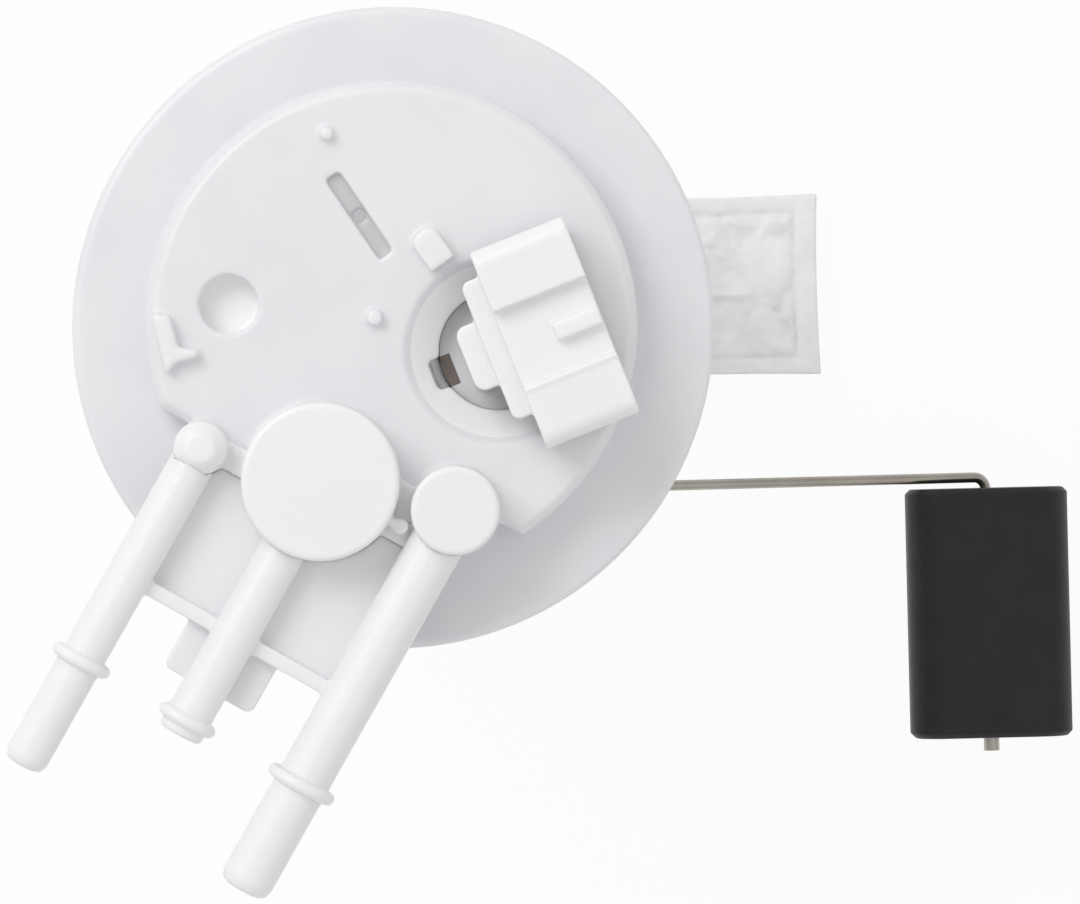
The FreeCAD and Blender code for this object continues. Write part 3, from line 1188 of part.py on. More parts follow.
def make_return_hose():
    """The hose from the cover's return tail to the lid's stub."""
    x0, y0 = nozzle_place(RETURN_ALONG, RETURN_ACROSS)
    top, bottom = -LOOSE_GAP, RETURN_STUB_TOP - BARB_LENGTH + 1.0
    bend, last_bend = RETURN_HOSE_BENDS
    points = ((x0, y0, top), (x0, y0, bend), (RETURN_STUB_X, RETURN_STUB_Y, last_bend),
              (RETURN_STUB_X, RETURN_STUB_Y, bottom))
    inner = BARB_R + RUNNING_GAP
    return tube_along(points, inner + HOSE_WALL, inner)


def make_pump_leads():
    """The two leads from the connector's barrel to the pump's plug."""
    leads = []
    end_z = OUTLET_BOSS_TOP + PLUG_H
    for side in (-1, 1):
        shift = side * LEAD_PITCH / 2
        end = at_plug(Part.Vertex(side * PIN_BLADE_PITCH / 2, 0, end_z)).Point
        x, y = PUMP_LEAD_X, PUMP_LEAD_Y + shift
        bend_x, bend_y, bend_z = PUMP_LEAD_BEND
        points = ((x, y, BARREL_BOTTOM), (x, y, LEAD_DROP_Z), (bend_x, bend_y + shift, bend_z),
                  (end.x, end.y, PUMP_LEAD_LAST_BEND_Z), (end.x, end.y, end_z))
        leads.append(tube_along(points, LEAD_R))
    return leads


def make_sender_leads():
    """The two leads from the connector's barrel to the sender's plug."""
    leads = []
    front = sender_face()
    for side in (-1, 1):
        shift = side * LEAD_PITCH / 2
        x, end_x = SENDER_LEAD_X + shift, SENDER_PLUG_X + shift
        end_y = front - SENDER_PLUG_T / 2
        end_z = CARD_TOP + SENDER_PLUG_GAP + SENDER_PLUG_H
        points = ((x, SENDER_LEAD_Y, BARREL_BOTTOM), (x, SENDER_LEAD_Y, LEAD_DROP_Z),
                  (SENDER_LEAD_BEND_X + shift, front - SENDER_LEAD_CLEARANCE, SENDER_LEAD_BEND_Z),
                  (end_x, end_y, SENDER_LEAD_LAST_BEND_Z), (end_x, end_y, end_z))
        leads.append(tube_along(points, LEAD_R))
    return leads


def parts():
    """Every node's name with its solid or solids."""
    made = {
        "flange_cover": make_cover(),
        "nozzle_set": make_nozzle_set(),
        "feed_elbow_cap": make_feed_elbow_cap(),
        "vent_cap": make_vent_cap(),
        "vent_housing": make_vent_housing(),
        "vent_bottom_cap": make_vent_bottom_cap(),
        "vent_float": make_vent_float(),
        "vent_spring": make_vent_spring(),
        "flange_seal": make_flange_seal(),
        "connector_body": make_connector_body(),
        "connector_terminals": make_connector_terminals(),
        "connector_seal": make_connector_seal(),
        "reservoir_bucket": make_bucket(),
        "reservoir_lid": make_lid(),
        "fill_valve": make_fill_valve(),
        "pump_shell": make_pump_shell(),
        "pump_inlet_end": make_inlet_end(),
        "pump_casting": make_pump_casting(),
        "impeller": make_impeller(),
        "armature_shaft": make_armature_shaft(),
        "armature": make_armature(),
        "commutator": make_commutator(),
        "pump_magnets": make_magnets(),
        "pump_brushes": make_brushes(),
        "pump_outlet_end": make_outlet_end(),
        "pump_terminals": make_pump_terminals(),
        "pump_plug": make_pump_plug(),
        "pump_isolator": make_isolator(),
        "strainer_sock": make_sock(),
        "strainer_neck": make_neck(),
        "sender_bracket": make_sender_bracket(),
        "resistor_card": make_resistor_card(),
        "sender_plug": make_sender_plug(),
        "arm_hub": make_hub(),
        "arm_wire": make_arm_wire(),
        "wiper": make_wiper(),
        "float_retainer": make_retainer(),
        "level_float": make_float(),
        "feed_hose": make_feed_hose(),
        "return_hose": make_return_hose(),
        "pump_leads": make_pump_leads(),
        "sender_leads": make_sender_leads(),
    }
    for number, (x, y) in enumerate(rod_places(), 1):
        made["guide_rod_%d" % number] = make_guide_rod(x, y)
        made["rod_clip_%d" % number] = make_rod_clip(x, y)
        made["rod_spring_%d" % number] = make_rod_spring(x, y)
    return made


def main():
    """Write one STEP file per node and print each one's solids and volume."""
    os.makedirs("parts", exist_ok=True)
    for name, made in parts().items():
        shape = Part.makeCompound(made) if isinstance(made, list) else made
        solids = shape.Solids
        print("%-22s solids %d volume %9.1f valid %s" % (name, len(solids), shape.Volume,
                                                         shape.isValid()))
        whole = Part.makeCompound(solids) if len(solids) > 1 else solids[0]
        whole.exportStep("parts/%s.step" % name)


main()
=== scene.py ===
"""Fuel pump module: finishes, soft parts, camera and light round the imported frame, in metres."""
import json
import logging
import math
import random
from dataclasses import dataclass, field
from enum import Enum

import bpy
from mathutils import Matrix, Vector

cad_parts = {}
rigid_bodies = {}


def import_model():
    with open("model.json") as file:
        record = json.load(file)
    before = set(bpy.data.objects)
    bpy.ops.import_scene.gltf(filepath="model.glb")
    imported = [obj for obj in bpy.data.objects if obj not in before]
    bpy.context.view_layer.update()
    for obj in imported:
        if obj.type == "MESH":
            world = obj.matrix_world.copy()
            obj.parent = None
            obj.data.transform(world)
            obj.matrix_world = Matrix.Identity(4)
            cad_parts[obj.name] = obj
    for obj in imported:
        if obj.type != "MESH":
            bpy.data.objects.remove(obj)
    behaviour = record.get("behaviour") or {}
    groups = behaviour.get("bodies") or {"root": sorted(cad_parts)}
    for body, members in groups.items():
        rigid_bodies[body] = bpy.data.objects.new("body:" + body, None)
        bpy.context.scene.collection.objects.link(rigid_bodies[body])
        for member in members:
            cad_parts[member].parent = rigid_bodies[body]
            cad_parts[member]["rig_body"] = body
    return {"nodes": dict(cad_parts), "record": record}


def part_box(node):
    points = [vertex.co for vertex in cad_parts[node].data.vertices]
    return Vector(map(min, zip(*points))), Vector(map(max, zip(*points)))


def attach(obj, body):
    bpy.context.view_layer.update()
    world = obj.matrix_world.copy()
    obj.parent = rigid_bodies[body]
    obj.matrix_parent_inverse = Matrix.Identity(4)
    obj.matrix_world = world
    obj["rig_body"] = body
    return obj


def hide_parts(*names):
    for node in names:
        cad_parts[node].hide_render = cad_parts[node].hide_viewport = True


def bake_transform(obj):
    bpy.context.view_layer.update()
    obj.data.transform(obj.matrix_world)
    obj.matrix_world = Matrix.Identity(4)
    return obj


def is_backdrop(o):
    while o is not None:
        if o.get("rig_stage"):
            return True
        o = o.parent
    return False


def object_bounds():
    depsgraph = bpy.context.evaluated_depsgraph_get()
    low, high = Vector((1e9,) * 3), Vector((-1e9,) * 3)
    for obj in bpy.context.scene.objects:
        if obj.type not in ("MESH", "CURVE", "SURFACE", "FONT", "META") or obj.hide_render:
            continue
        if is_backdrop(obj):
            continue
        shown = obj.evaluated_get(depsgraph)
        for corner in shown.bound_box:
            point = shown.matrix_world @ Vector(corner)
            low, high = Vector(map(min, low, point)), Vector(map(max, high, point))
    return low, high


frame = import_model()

log = logging.getLogger("fuel_pump_module")

MM = 0.001
SEED = 11

# The finishes' noise: the two tones' blend, levels of detail, size of patches, light's depth
CLOUD_LOW, CLOUD_HIGH = 0.34, 0.66
CLOUD_DETAIL, PATCH_DETAIL, GRAIN_DETAIL = 3.0, 4.0, 5.0
PATCH_SHARE = 4
GLOW_DEPTH = 1.6 * MM
THREAD_WANDER = 0.4

# Shapes: below every piece, the sharpest bend still shaded as round, the pump's place in plan
UNDER_ALL = -0.02
ROUND_ANGLE = 50.0
PUMP_AXIS = Vector((0.0, 6.0))


# Tools for meshes

def deselect() -> None:
    """Leave nothing selected and no object in edit mode."""
    if bpy.context.object and bpy.context.object.mode != "OBJECT":
        bpy.ops.object.mode_set(mode="OBJECT")
    bpy.ops.object.select_all(action="DESELECT")


def make_active(piece: bpy.types.Object) -> None:
    """Select one piece alone and make it the active one.

    Args:
        piece: The object to work on.
    """
    deselect()
    piece.select_set(True)
    bpy.context.view_layer.objects.active = piece


def apply_modifiers(piece: bpy.types.Object) -> None:
    """Apply every modifier of a piece in order.

    Args:
        piece: The object whose modifiers become mesh.
    """
    make_active(piece)
    for modifier in list(piece.modifiers):
        bpy.ops.object.modifier_apply(modifier=modifier.name)


def apply_place(piece: bpy.types.Object) -> None:
    """Put a piece's place, turn and scale into its mesh.

    Args:
        piece: The object that ends at the origin, unturned.
    """
    make_active(piece)
    bpy.ops.object.transform_apply(location=True, rotation=True, scale=True)


def smooth(piece: bpy.types.Object, degrees: float) -> None:
    """Shade a piece smooth except at edges sharper than an angle.

    Args:
        piece: The object to shade.
        degrees: The sharpest angle that is still shaded smooth.
    """
    make_active(piece)
    bpy.ops.object.shade_smooth_by_angle(angle=math.radians(degrees))


def in_metres(points: tuple[tuple[float, float, float], ...]) -> list[Vector]:
    """Points given in millimetres, as vectors in metres.

    Args:
        points: Places in millimetres.

    Returns:
        The same places in metres.
    """
    return [Vector(point) * MM for point in points]


# Finishes

class Grain(Enum):
    """How a surface's fine relief is drawn."""

    MOULDED = "moulded"
    FOAM = "foam"
    BRUSHED = "brushed"
    WOVEN = "woven"


@dataclass(frozen=True)
class Finish:
    """One surface finish, as noise-driven colour, roughness and relief in object space."""

    name: str
    colour: tuple[float, float, float]
    second: tuple[float, float, float]
    roughness: tuple[float, float]
    metallic: float = 0.0
    grain: Grain = Grain.MOULDED
    cloud: float = 60.0
    grain_scale: float = 1400.0
    grain_depth: float = 0.00001
    stretch: tuple[float, float, float] = (1.0, 1.0, 1.0)
    subsurface: float = 0.0
    sheen: float = 0.0
    gloss: float = 0.5

    def material(self) -> bpy.types.Material:
        """Make the finish's node material, or find it if it is made already.

        Returns:
            The material.
        """
        made = bpy.data.materials.get(self.name)
        if made:
            return made
        made = bpy.data.materials.new(self.name)
        made.use_nodes = True
        tree = made.node_tree
        shader = tree.nodes["Principled BSDF"]
        shader.inputs["Metallic"].default_value = self.metallic
        shader.inputs["Subsurface Weight"].default_value = self.subsurface
        shader.inputs["Subsurface Radius"].default_value = (1.0, 1.0, 1.0)
        shader.inputs["Subsurface Scale"].default_value = GLOW_DEPTH
        shader.inputs["Sheen Weight"].default_value = self.sheen
        shader.inputs["Specular IOR Level"].default_value = self.gloss
        place = tree.nodes.new("ShaderNodeTexCoord").outputs["Object"]
        stretched = tree.nodes.new("ShaderNodeMapping")
        stretched.inputs["Scale"].default_value = self.stretch
        tree.links.new(place, stretched.inputs["Vector"])
        self.add_colour(tree, shader, stretched.outputs["Vector"])
        self.add_roughness(tree, shader, stretched.outputs["Vector"])
        self.add_relief(tree, shader, stretched.outputs["Vector"])
        return made

    def add_colour(self, tree: bpy.types.NodeTree, shader: bpy.types.Node,
                   place: bpy.types.NodeSocket) -> None:
        """Drive the base colour between the two tones by soft clouds.

        Args:
            tree: The material's nodes.
            shader: The Principled shader.
            place: The stretched object coordinates.
        """
        clouds = noise(tree, place, self.cloud, CLOUD_DETAIL)
        ramp = tree.nodes.new("ShaderNodeValToRGB")
        ramp.color_ramp.elements[0].position = CLOUD_LOW
        ramp.color_ramp.elements[1].position = CLOUD_HIGH
        ramp.color_ramp.elements[0].color = (*self.second, 1.0)
        ramp.color_ramp.elements[1].color = (*self.colour, 1.0)
        tree.links.new(clouds, ramp.inputs["Fac"])
        tree.links.new(ramp.outputs["Color"], shader.inputs["Base Color"])

    def add_roughness(self, tree: bpy.types.NodeTree, shader: bpy.types.Node,
                      place: bpy.types.NodeSocket) -> None:
        """Drive the roughness between its two bounds by noise.

        Args:
            tree: The material's nodes.
            shader: The Principled shader.
            place: The stretched object coordinates.
        """
        spread = tree.nodes.new("ShaderNodeMapRange")
        spread.inputs["To Min"].default_value = self.roughness[0]
        spread.inputs["To Max"].default_value = self.roughness[1]
        patches = noise(tree, place, self.cloud * PATCH_SHARE, PATCH_DETAIL)
        tree.links.new(patches, spread.inputs["Value"])
        tree.links.new(spread.outputs["Result"], shader.inputs["Roughness"])

    def add_relief(self, tree: bpy.types.NodeTree, shader: bpy.types.Node,
                   place: bpy.types.NodeSocket) -> None:
        """Give the surface its fine relief.

        Args:
            tree: The material's nodes.
            shader: The Principled shader.
            place: The stretched object coordinates.
        """
        if self.grain is Grain.WOVEN:
            height = weave(tree, place, self.grain_scale)
        elif self.grain is Grain.FOAM:
            height = foam_cells(tree, place, self.grain_scale)
        else:
            height = noise(tree, place, self.grain_scale, GRAIN_DETAIL)
        bump = tree.nodes.new("ShaderNodeBump")
        bump.inputs["Distance"].default_value = self.grain_depth
        tree.links.new(height, bump.inputs["Height"])
        tree.links.new(bump.outputs["Normal"], shader.inputs["Normal"])


def noise(tree: bpy.types.NodeTree, place: bpy.types.NodeSocket, scale: float,
          detail: float) -> bpy.types.NodeSocket:
    """Add a noise texture.

    Args:
        tree: The material's nodes.
        place: The coordinates that it reads.
        scale: Cells per metre.
        detail: Octaves.

    Returns:
        The noise value's socket.
    """
    texture = tree.nodes.new("ShaderNodeTexNoise")
    texture.inputs["Scale"].default_value = scale
    texture.inputs["Detail"].default_value = detail
    tree.links.new(place, texture.inputs["Vector"])
    return texture.outputs["Fac"]


def weave(tree: bpy.types.NodeTree, place: bpy.types.NodeSocket,
          scale: float) -> bpy.types.NodeSocket:
    """Add two crossed waves, as a plain weave's threads.

    Args:
        tree: The material's nodes.
        place: The coordinates that they read.
        scale: Threads per metre.

    Returns:
        The height's socket.
    """
    waves = []
    for direction in ("X", "Y"):
        wave = tree.nodes.new("ShaderNodeTexWave")
        wave.bands_direction = direction
        wave.inputs["Scale"].default_value = scale
        wave.inputs["Distortion"].default_value = THREAD_WANDER
        tree.links.new(place, wave.inputs["Vector"])
        waves.append(wave.outputs["Fac"])
    return calculated(tree, "MULTIPLY", waves[0], waves[1])


def foam_cells(tree: bpy.types.NodeTree, place: bpy.types.NodeSocket,
               scale: float) -> bpy.types.NodeSocket:
    """Add the tiny closed cells of a foam's skin.

    Args:
        tree: The material's nodes.
        place: The coordinates that they read.
        scale: Cells per metre.

    Returns:
        The height's socket.
    """
    cells = tree.nodes.new("ShaderNodeTexVoronoi")
    cells.inputs["Scale"].default_value = scale
    tree.links.new(place, cells.inputs["Vector"])
    return cells.outputs["Distance"]


def calculated(tree: bpy.types.NodeTree, operation: str, first: bpy.types.NodeSocket | float,
               second: bpy.types.NodeSocket | float) -> bpy.types.NodeSocket:
    """Add a Math node.

    Args:
        tree: The material's nodes.
        operation: The node's operation.
        first: The first value, or the socket that gives it.
        second: The second value, or the socket that gives it.

    Returns:
        The result's socket.
    """
    node = tree.nodes.new("ShaderNodeMath")
    node.operation = operation
    for slot, value in zip(node.inputs, (first, second)):
        if isinstance(value, bpy.types.NodeSocket):
            tree.links.new(value, slot)
        else:
            slot.default_value = value
    return node.outputs[0]


@dataclass(frozen=True)
class AcetalWithPaintedLight(Finish):
    """White acetal with painted light: the tone clears towards the tops of the towers and nozzles
    as painted light, with painted shade in the slot, the socket and the window, and painted light
    in the pocket and the dish.
    """

    # Painted light: the tone towards the tops and on the window's outer lip
    clear: tuple[float, float, float] = (0.90, 0.895, 0.90)
    # Painted shade in the long slot
    shade: tuple[float, float, float] = (0.62, 0.61, 0.625)
    # Painted shade deep in the connector socket
    painted_socket_shade: tuple[float, float, float] = (0.74, 0.735, 0.75)
    # Painted shade in the window over the connector barrel
    painted_window_shade: tuple[float, float, float] = (0.19, 0.16, 0.14)
    # Painted light in the pocket and the connector's dish
    painted_hollow_light: tuple[float, float, float] = (0.94, 0.94, 0.95)
    # Heights over which the painted light on the tops rises
    low: float = 0.0135
    high: float = 0.0225
    slot_centre: tuple[float, float, float] = (-0.0053, 0.0200, 0.0)
    slot_turn: float = -57.2
    slot_half: tuple[float, float] = (0.0087, 0.0016)
    slot_floor: float = 0.0137
    socket_centre: tuple[float, float, float] = (0.01895, -0.00466, 0.0)
    socket_turn: float = 20.4
    socket_radius: float = 0.0109
    socket_floor: float = 0.0088
    rim_radius: float = 0.0172
    pocket_centre: tuple[float, float, float] = (-0.0290, 0.0047, 0.0)
    pocket_radius: float = 0.0056
    dome_floor: float = 0.0134
    window_along: tuple[float, float, float] = (-0.0128, -0.0106, -0.0084)
    window_half: float = 0.0029
    window_floor: float = 0.0090

    def add_colour(self, tree: bpy.types.NodeTree, shader: bpy.types.Node,
                   place: bpy.types.NodeSocket) -> None:
        """Paint light that clears the clouded tone with height, painted shade in the slot, the
        socket and the window, and painted light in the pocket, the dish and the window's outer lip.
            place: The stretched object coordinates.
        """
        Finish.add_colour(self, tree, shader, place)
        clouded = shader.inputs["Base Color"].links[0].from_socket
        parts = tree.nodes.new("ShaderNodeSeparateXYZ")
        tree.links.new(place, parts.inputs["Vector"])
        height = parts.outputs["Z"]
        # Painted light: the tone clears towards the tops
        rise = tree.nodes.new("ShaderNodeMapRange")
        rise.inputs["From Min"].default_value = self.low
        rise.inputs["From Max"].default_value = self.high
        tree.links.new(height, rise.inputs["Value"])
        blended = mixed(tree, rise.outputs["Result"], clouded, self.clear)
        # Painted shade in the slot
        blended = mixed(tree, self.slot_mask(tree, place, height), blended, self.shade)
        pocket = turned_axes(tree, place, self.pocket_centre, 0.0)
        socket = turned_axes(tree, place, self.socket_centre, self.socket_turn)
        # Painted light in the pocket and the dish, painted shade deep in the connector socket
        for axes, radius, floor, tone in (
                (pocket, self.pocket_radius, self.dome_floor, self.painted_hollow_light),
                (socket, self.rim_radius, self.dome_floor, self.painted_hollow_light),
                (socket, self.socket_radius, self.socket_floor, self.painted_socket_shade)):
            hollow = calculated(tree, "MULTIPLY", band(tree, distance(tree, *axes), (-1.0, radius)),
                                band(tree, height, (0.0, floor)))
            blended = mixed(tree, hollow, blended, tone)
        # Painted light on the window's outer lip and painted shade on its inner part, over the
        # barrel top under the opening
        along, across = socket
        outer, lip, inner = self.window_along
        low_enough = calculated(
            tree, "MULTIPLY", band(tree, height, (UNDER_ALL, self.window_floor)),
            band(tree, across, (-self.window_half, self.window_half)))
        for limits, tone in (((outer, lip), self.clear), ((lip, inner), self.painted_window_shade)):
            window = calculated(tree, "MULTIPLY", low_enough, band(tree, along, limits))
            blended = mixed(tree, window, blended, tone)
        tree.links.new(blended, shader.inputs["Base Color"])

    def slot_mask(self, tree: bpy.types.NodeTree, place: bpy.types.NodeSocket,
                  height: bpy.types.NodeSocket) -> bpy.types.NodeSocket:
        """Tell where the surface is the floor or wall of the long slot in the dome, where painted
        shade goes.

        Args:
            tree: The material's nodes.
            place: The stretched object coordinates.
            height: The place's height.

        Returns:
            A socket that is one in the slot.
        """
        along, across = turned_axes(tree, place, self.slot_centre, self.slot_turn)
        long_half, wide_half = self.slot_half
        inside = calculated(tree, "MULTIPLY", band(tree, along, (-long_half, long_half)),
                            band(tree, across, (-wide_half, wide_half)))
        return calculated(tree, "MULTIPLY", inside, band(tree, height, (0.0, self.slot_floor)))


def turned_axes(tree: bpy.types.NodeTree, place: bpy.types.NodeSocket,
                centre: tuple[float, float, float],
                degrees: float) -> tuple[bpy.types.NodeSocket, bpy.types.NodeSocket]:
    """Read coordinates in plan axes that are moved to a centre and turned.

    Args:
        tree: The material's nodes.
        place: The coordinates.
        centre: The new axes' origin.
        degrees: The new first axis's heading.

    Returns:
        The sockets of the first and the second coordinate.
    """
    mapping = tree.nodes.new("ShaderNodeMapping")
    mapping.vector_type = "TEXTURE"
    mapping.inputs["Location"].default_value = centre
    mapping.inputs["Rotation"].default_value = (0.0, 0.0, math.radians(degrees))
    tree.links.new(place, mapping.inputs["Vector"])
    parts = tree.nodes.new("ShaderNodeSeparateXYZ")
    tree.links.new(mapping.outputs["Vector"], parts.inputs["Vector"])
    return parts.outputs["X"], parts.outputs["Y"]


def distance(tree: bpy.types.NodeTree, along: bpy.types.NodeSocket,
             across: bpy.types.NodeSocket) -> bpy.types.NodeSocket:
    """Measure how far a place is from the origin of two axes.

    Args:
        tree: The material's nodes.
        along: The first coordinate.
        across: The second coordinate.

    Returns:
        The distance's socket.
    """
    squares = [calculated(tree, "MULTIPLY", value, value) for value in (along, across)]
    return calculated(tree, "SQRT", calculated(tree, "ADD", *squares), 0.0)


def mixed(tree: bpy.types.NodeTree, share: bpy.types.NodeSocket,
          first: bpy.types.NodeSocket | tuple[float, float, float],
          second: bpy.types.NodeSocket | tuple[float, float, float]) -> bpy.types.NodeSocket:
    """Mix two colours.

    Args:
        tree: The material's nodes.
        share: The second colour's share.
        first: The first colour, or the socket that gives it.
        second: The second colour, or the socket that gives it.

    Returns:
        The mixed colour's socket.
    """
    mix = tree.nodes.new("ShaderNodeMix")
    mix.data_type = "RGBA"
    slots = [socket for socket in mix.inputs if socket.type == "RGBA"]
    for slot, colour in zip(slots, (first, second)):
        if isinstance(colour, bpy.types.NodeSocket):
            tree.links.new(colour, slot)
        else:
            slot.default_value = (*colour, 1.0)
    tree.links.new(share, mix.inputs["Factor"])
    return next(socket for socket in mix.outputs if socket.type == "RGBA")


@dataclass(frozen=True)
class TrackedCeramic(Finish):
    """Fired ceramic with the sender's printed resistor tracks round its pivot."""

    pivot_z: float = -0.105
    comb: tuple[float, float] = (0.0150, 0.0176)
    track: tuple[float, float] = (0.0186, 0.0203)
    comb_pitch: float = 140.0
    comb_gap: float = 0.1
    ink: tuple[float, float, float] = (0.045, 0.04, 0.036)

    def add_colour(self, tree: bpy.types.NodeTree, shader: bpy.types.Node,
                   place: bpy.types.NodeSocket) -> None:
        """Print a comb of contacts and a solid track on the ceramic.

        Args:
            tree: The material's nodes.
            shader: The Principled shader.
            place: The stretched object coordinates.
        """
        parts = tree.nodes.new("ShaderNodeSeparateXYZ")
        tree.links.new(place, parts.inputs["Vector"])
        across = parts.outputs["X"]
        above = calculated(tree, "SUBTRACT", parts.outputs["Z"], self.pivot_z)
        radius = distance(tree, across, above)
        angle = calculated(tree, "ARCTAN2", across, above)
        teeth = calculated(tree, "GREATER_THAN", calculated(
            tree, "SINE", calculated(tree, "MULTIPLY", angle, self.comb_pitch), 0.0),
            self.comb_gap)
        comb = calculated(tree, "MULTIPLY", band(tree, radius, self.comb), teeth)
        printed = calculated(tree, "MAXIMUM", comb, band(tree, radius, self.track))
        colour = mixed(tree, printed, self.colour, self.ink)
        tree.links.new(colour, shader.inputs["Base Color"])


def band(tree: bpy.types.NodeTree, value: bpy.types.NodeSocket,
         limits: tuple[float, float]) -> bpy.types.NodeSocket:
    """Tell where a value lies between two limits.

    Args:
        tree: The material's nodes.
        value: The value's socket.
        limits: The lower and the upper limit.

    Returns:
        A socket that is one between the limits and nothing elsewhere.
    """
    above = calculated(tree, "GREATER_THAN", value, limits[0])
    below = calculated(tree, "LESS_THAN", value, limits[1])
    return calculated(tree, "MULTIPLY", above, below)


FINISH_OF_SLOT = {
    # White acetal with painted light on its tops and hollows and painted shade in its slot, socket
    # and window
    "white_acetal": AcetalWithPaintedLight("white_acetal_painted_light", (0.83, 0.83, 0.85), (0.79, 0.79, 0.815),
        (0.30, 0.40), cloud=45.0, subsurface=0.4, grain_depth=0.000005),
    "natural_nylon": Finish("natural_nylon_finish", (0.78, 0.77, 0.71), (0.70, 0.69, 0.63),
        (0.34, 0.46), cloud=90.0, subsurface=0.5),
    "black_foam": Finish("black_foam_finish", (0.016, 0.0125, 0.014), (0.011, 0.0085, 0.0095),
        (0.44, 0.54), grain=Grain.FOAM, cloud=120.0, grain_scale=2600.0, grain_depth=0.00002,
        gloss=0.35),
    "seal_rubber": Finish("seal_rubber_finish", (0.022, 0.022, 0.024), (0.014, 0.014, 0.016),
        (0.45, 0.62), cloud=150.0, grain_depth=0.00001),
    "filter_cloth": Finish("filter_cloth_finish", (0.91, 0.895, 0.915), (0.84, 0.82, 0.84),
        (0.5, 0.66), grain=Grain.WOVEN, cloud=220.0, grain_scale=700.0, grain_depth=0.00003,
        subsurface=0.4, sheen=0.3),
    "steel": Finish("steel_finish", (0.56, 0.56, 0.55), (0.46, 0.46, 0.45), (0.24, 0.38), 1.0,
        Grain.BRUSHED, 160.0, 1500.0, 0.000006, (1.0, 1.0, 0.08)),
    "stainless_wire": Finish("stainless_wire_finish", (0.47, 0.44, 0.39), (0.38, 0.35, 0.31),
        (0.22, 0.34), 1.0, Grain.BRUSHED, 220.0, 1800.0, 0.000004, (0.08, 0.08, 1.0)),
    "zinc_steel": Finish("zinc_steel_finish", (0.60, 0.58, 0.52), (0.50, 0.485, 0.43),
        (0.26, 0.42), 1.0, Grain.BRUSHED, 120.0, 1300.0, 0.00001, (1.0, 1.0, 0.15)),
    "brass": Finish("brass_finish", (0.66, 0.50, 0.24), (0.55, 0.41, 0.19), (0.22, 0.34), 1.0,
        Grain.BRUSHED, 200.0, 1500.0, 0.000006),
    "copper": Finish("copper_finish", (0.62, 0.31, 0.19), (0.50, 0.25, 0.15), (0.24, 0.36), 1.0,
        Grain.BRUSHED, 200.0, 1500.0, 0.000006),
    "core_steel": Finish("core_steel_finish", (0.16, 0.15, 0.145), (0.11, 0.105, 0.10),
        (0.4, 0.55), 0.7, Grain.BRUSHED, 150.0, 1800.0, 0.00002, (0.2, 0.2, 3.0)),
    "ferrite": Finish("ferrite_finish", (0.035, 0.035, 0.038), (0.026, 0.026, 0.028), (0.6, 0.75),
        cloud=300.0, grain_depth=0.00003),
    "carbon": Finish("carbon_finish", (0.028, 0.028, 0.028), (0.018, 0.018, 0.018), (0.5, 0.65),
        cloud=400.0, grain_depth=0.00002),
    "pump_plastic": Finish("pump_plastic_finish", (0.045, 0.045, 0.048), (0.03, 0.03, 0.033),
        (0.42, 0.56), cloud=140.0, grain_depth=0.00002),
    "ceramic": TrackedCeramic("ceramic_finish", (0.78, 0.77, 0.72), (0.72, 0.71, 0.66),
        (0.35, 0.5), cloud=250.0, grain_depth=0.000008),
    "lead_insulation": Finish("lead_insulation_finish", (0.02, 0.02, 0.022),
        (0.014, 0.014, 0.015), (0.38, 0.5), cloud=300.0),
    "grey_plug": Finish("grey_plug_finish", (0.28, 0.285, 0.29), (0.24, 0.245, 0.25), (0.4, 0.55),
        cloud=160.0, grain_depth=0.000012),
}
SLOT_OF_NODE = {part["node"]: part["material_slot"] for part in frame["record"]["subparts"]}


def dress(piece: bpy.types.Object, slot: str) -> None:
    """Give a piece the finish of one of the record's material slots.

    Args:
        piece: The piece.
        slot: The slot's name.
    """
    piece.data.materials.clear()
    piece.data.materials.append(FINISH_OF_SLOT[slot].material())


# Carried-over solids

@dataclass(frozen=True)
class Moulding:
    """How a moulded part's edges and roots are rounded."""

    cell: float
    rounds: int
    kept_share: float


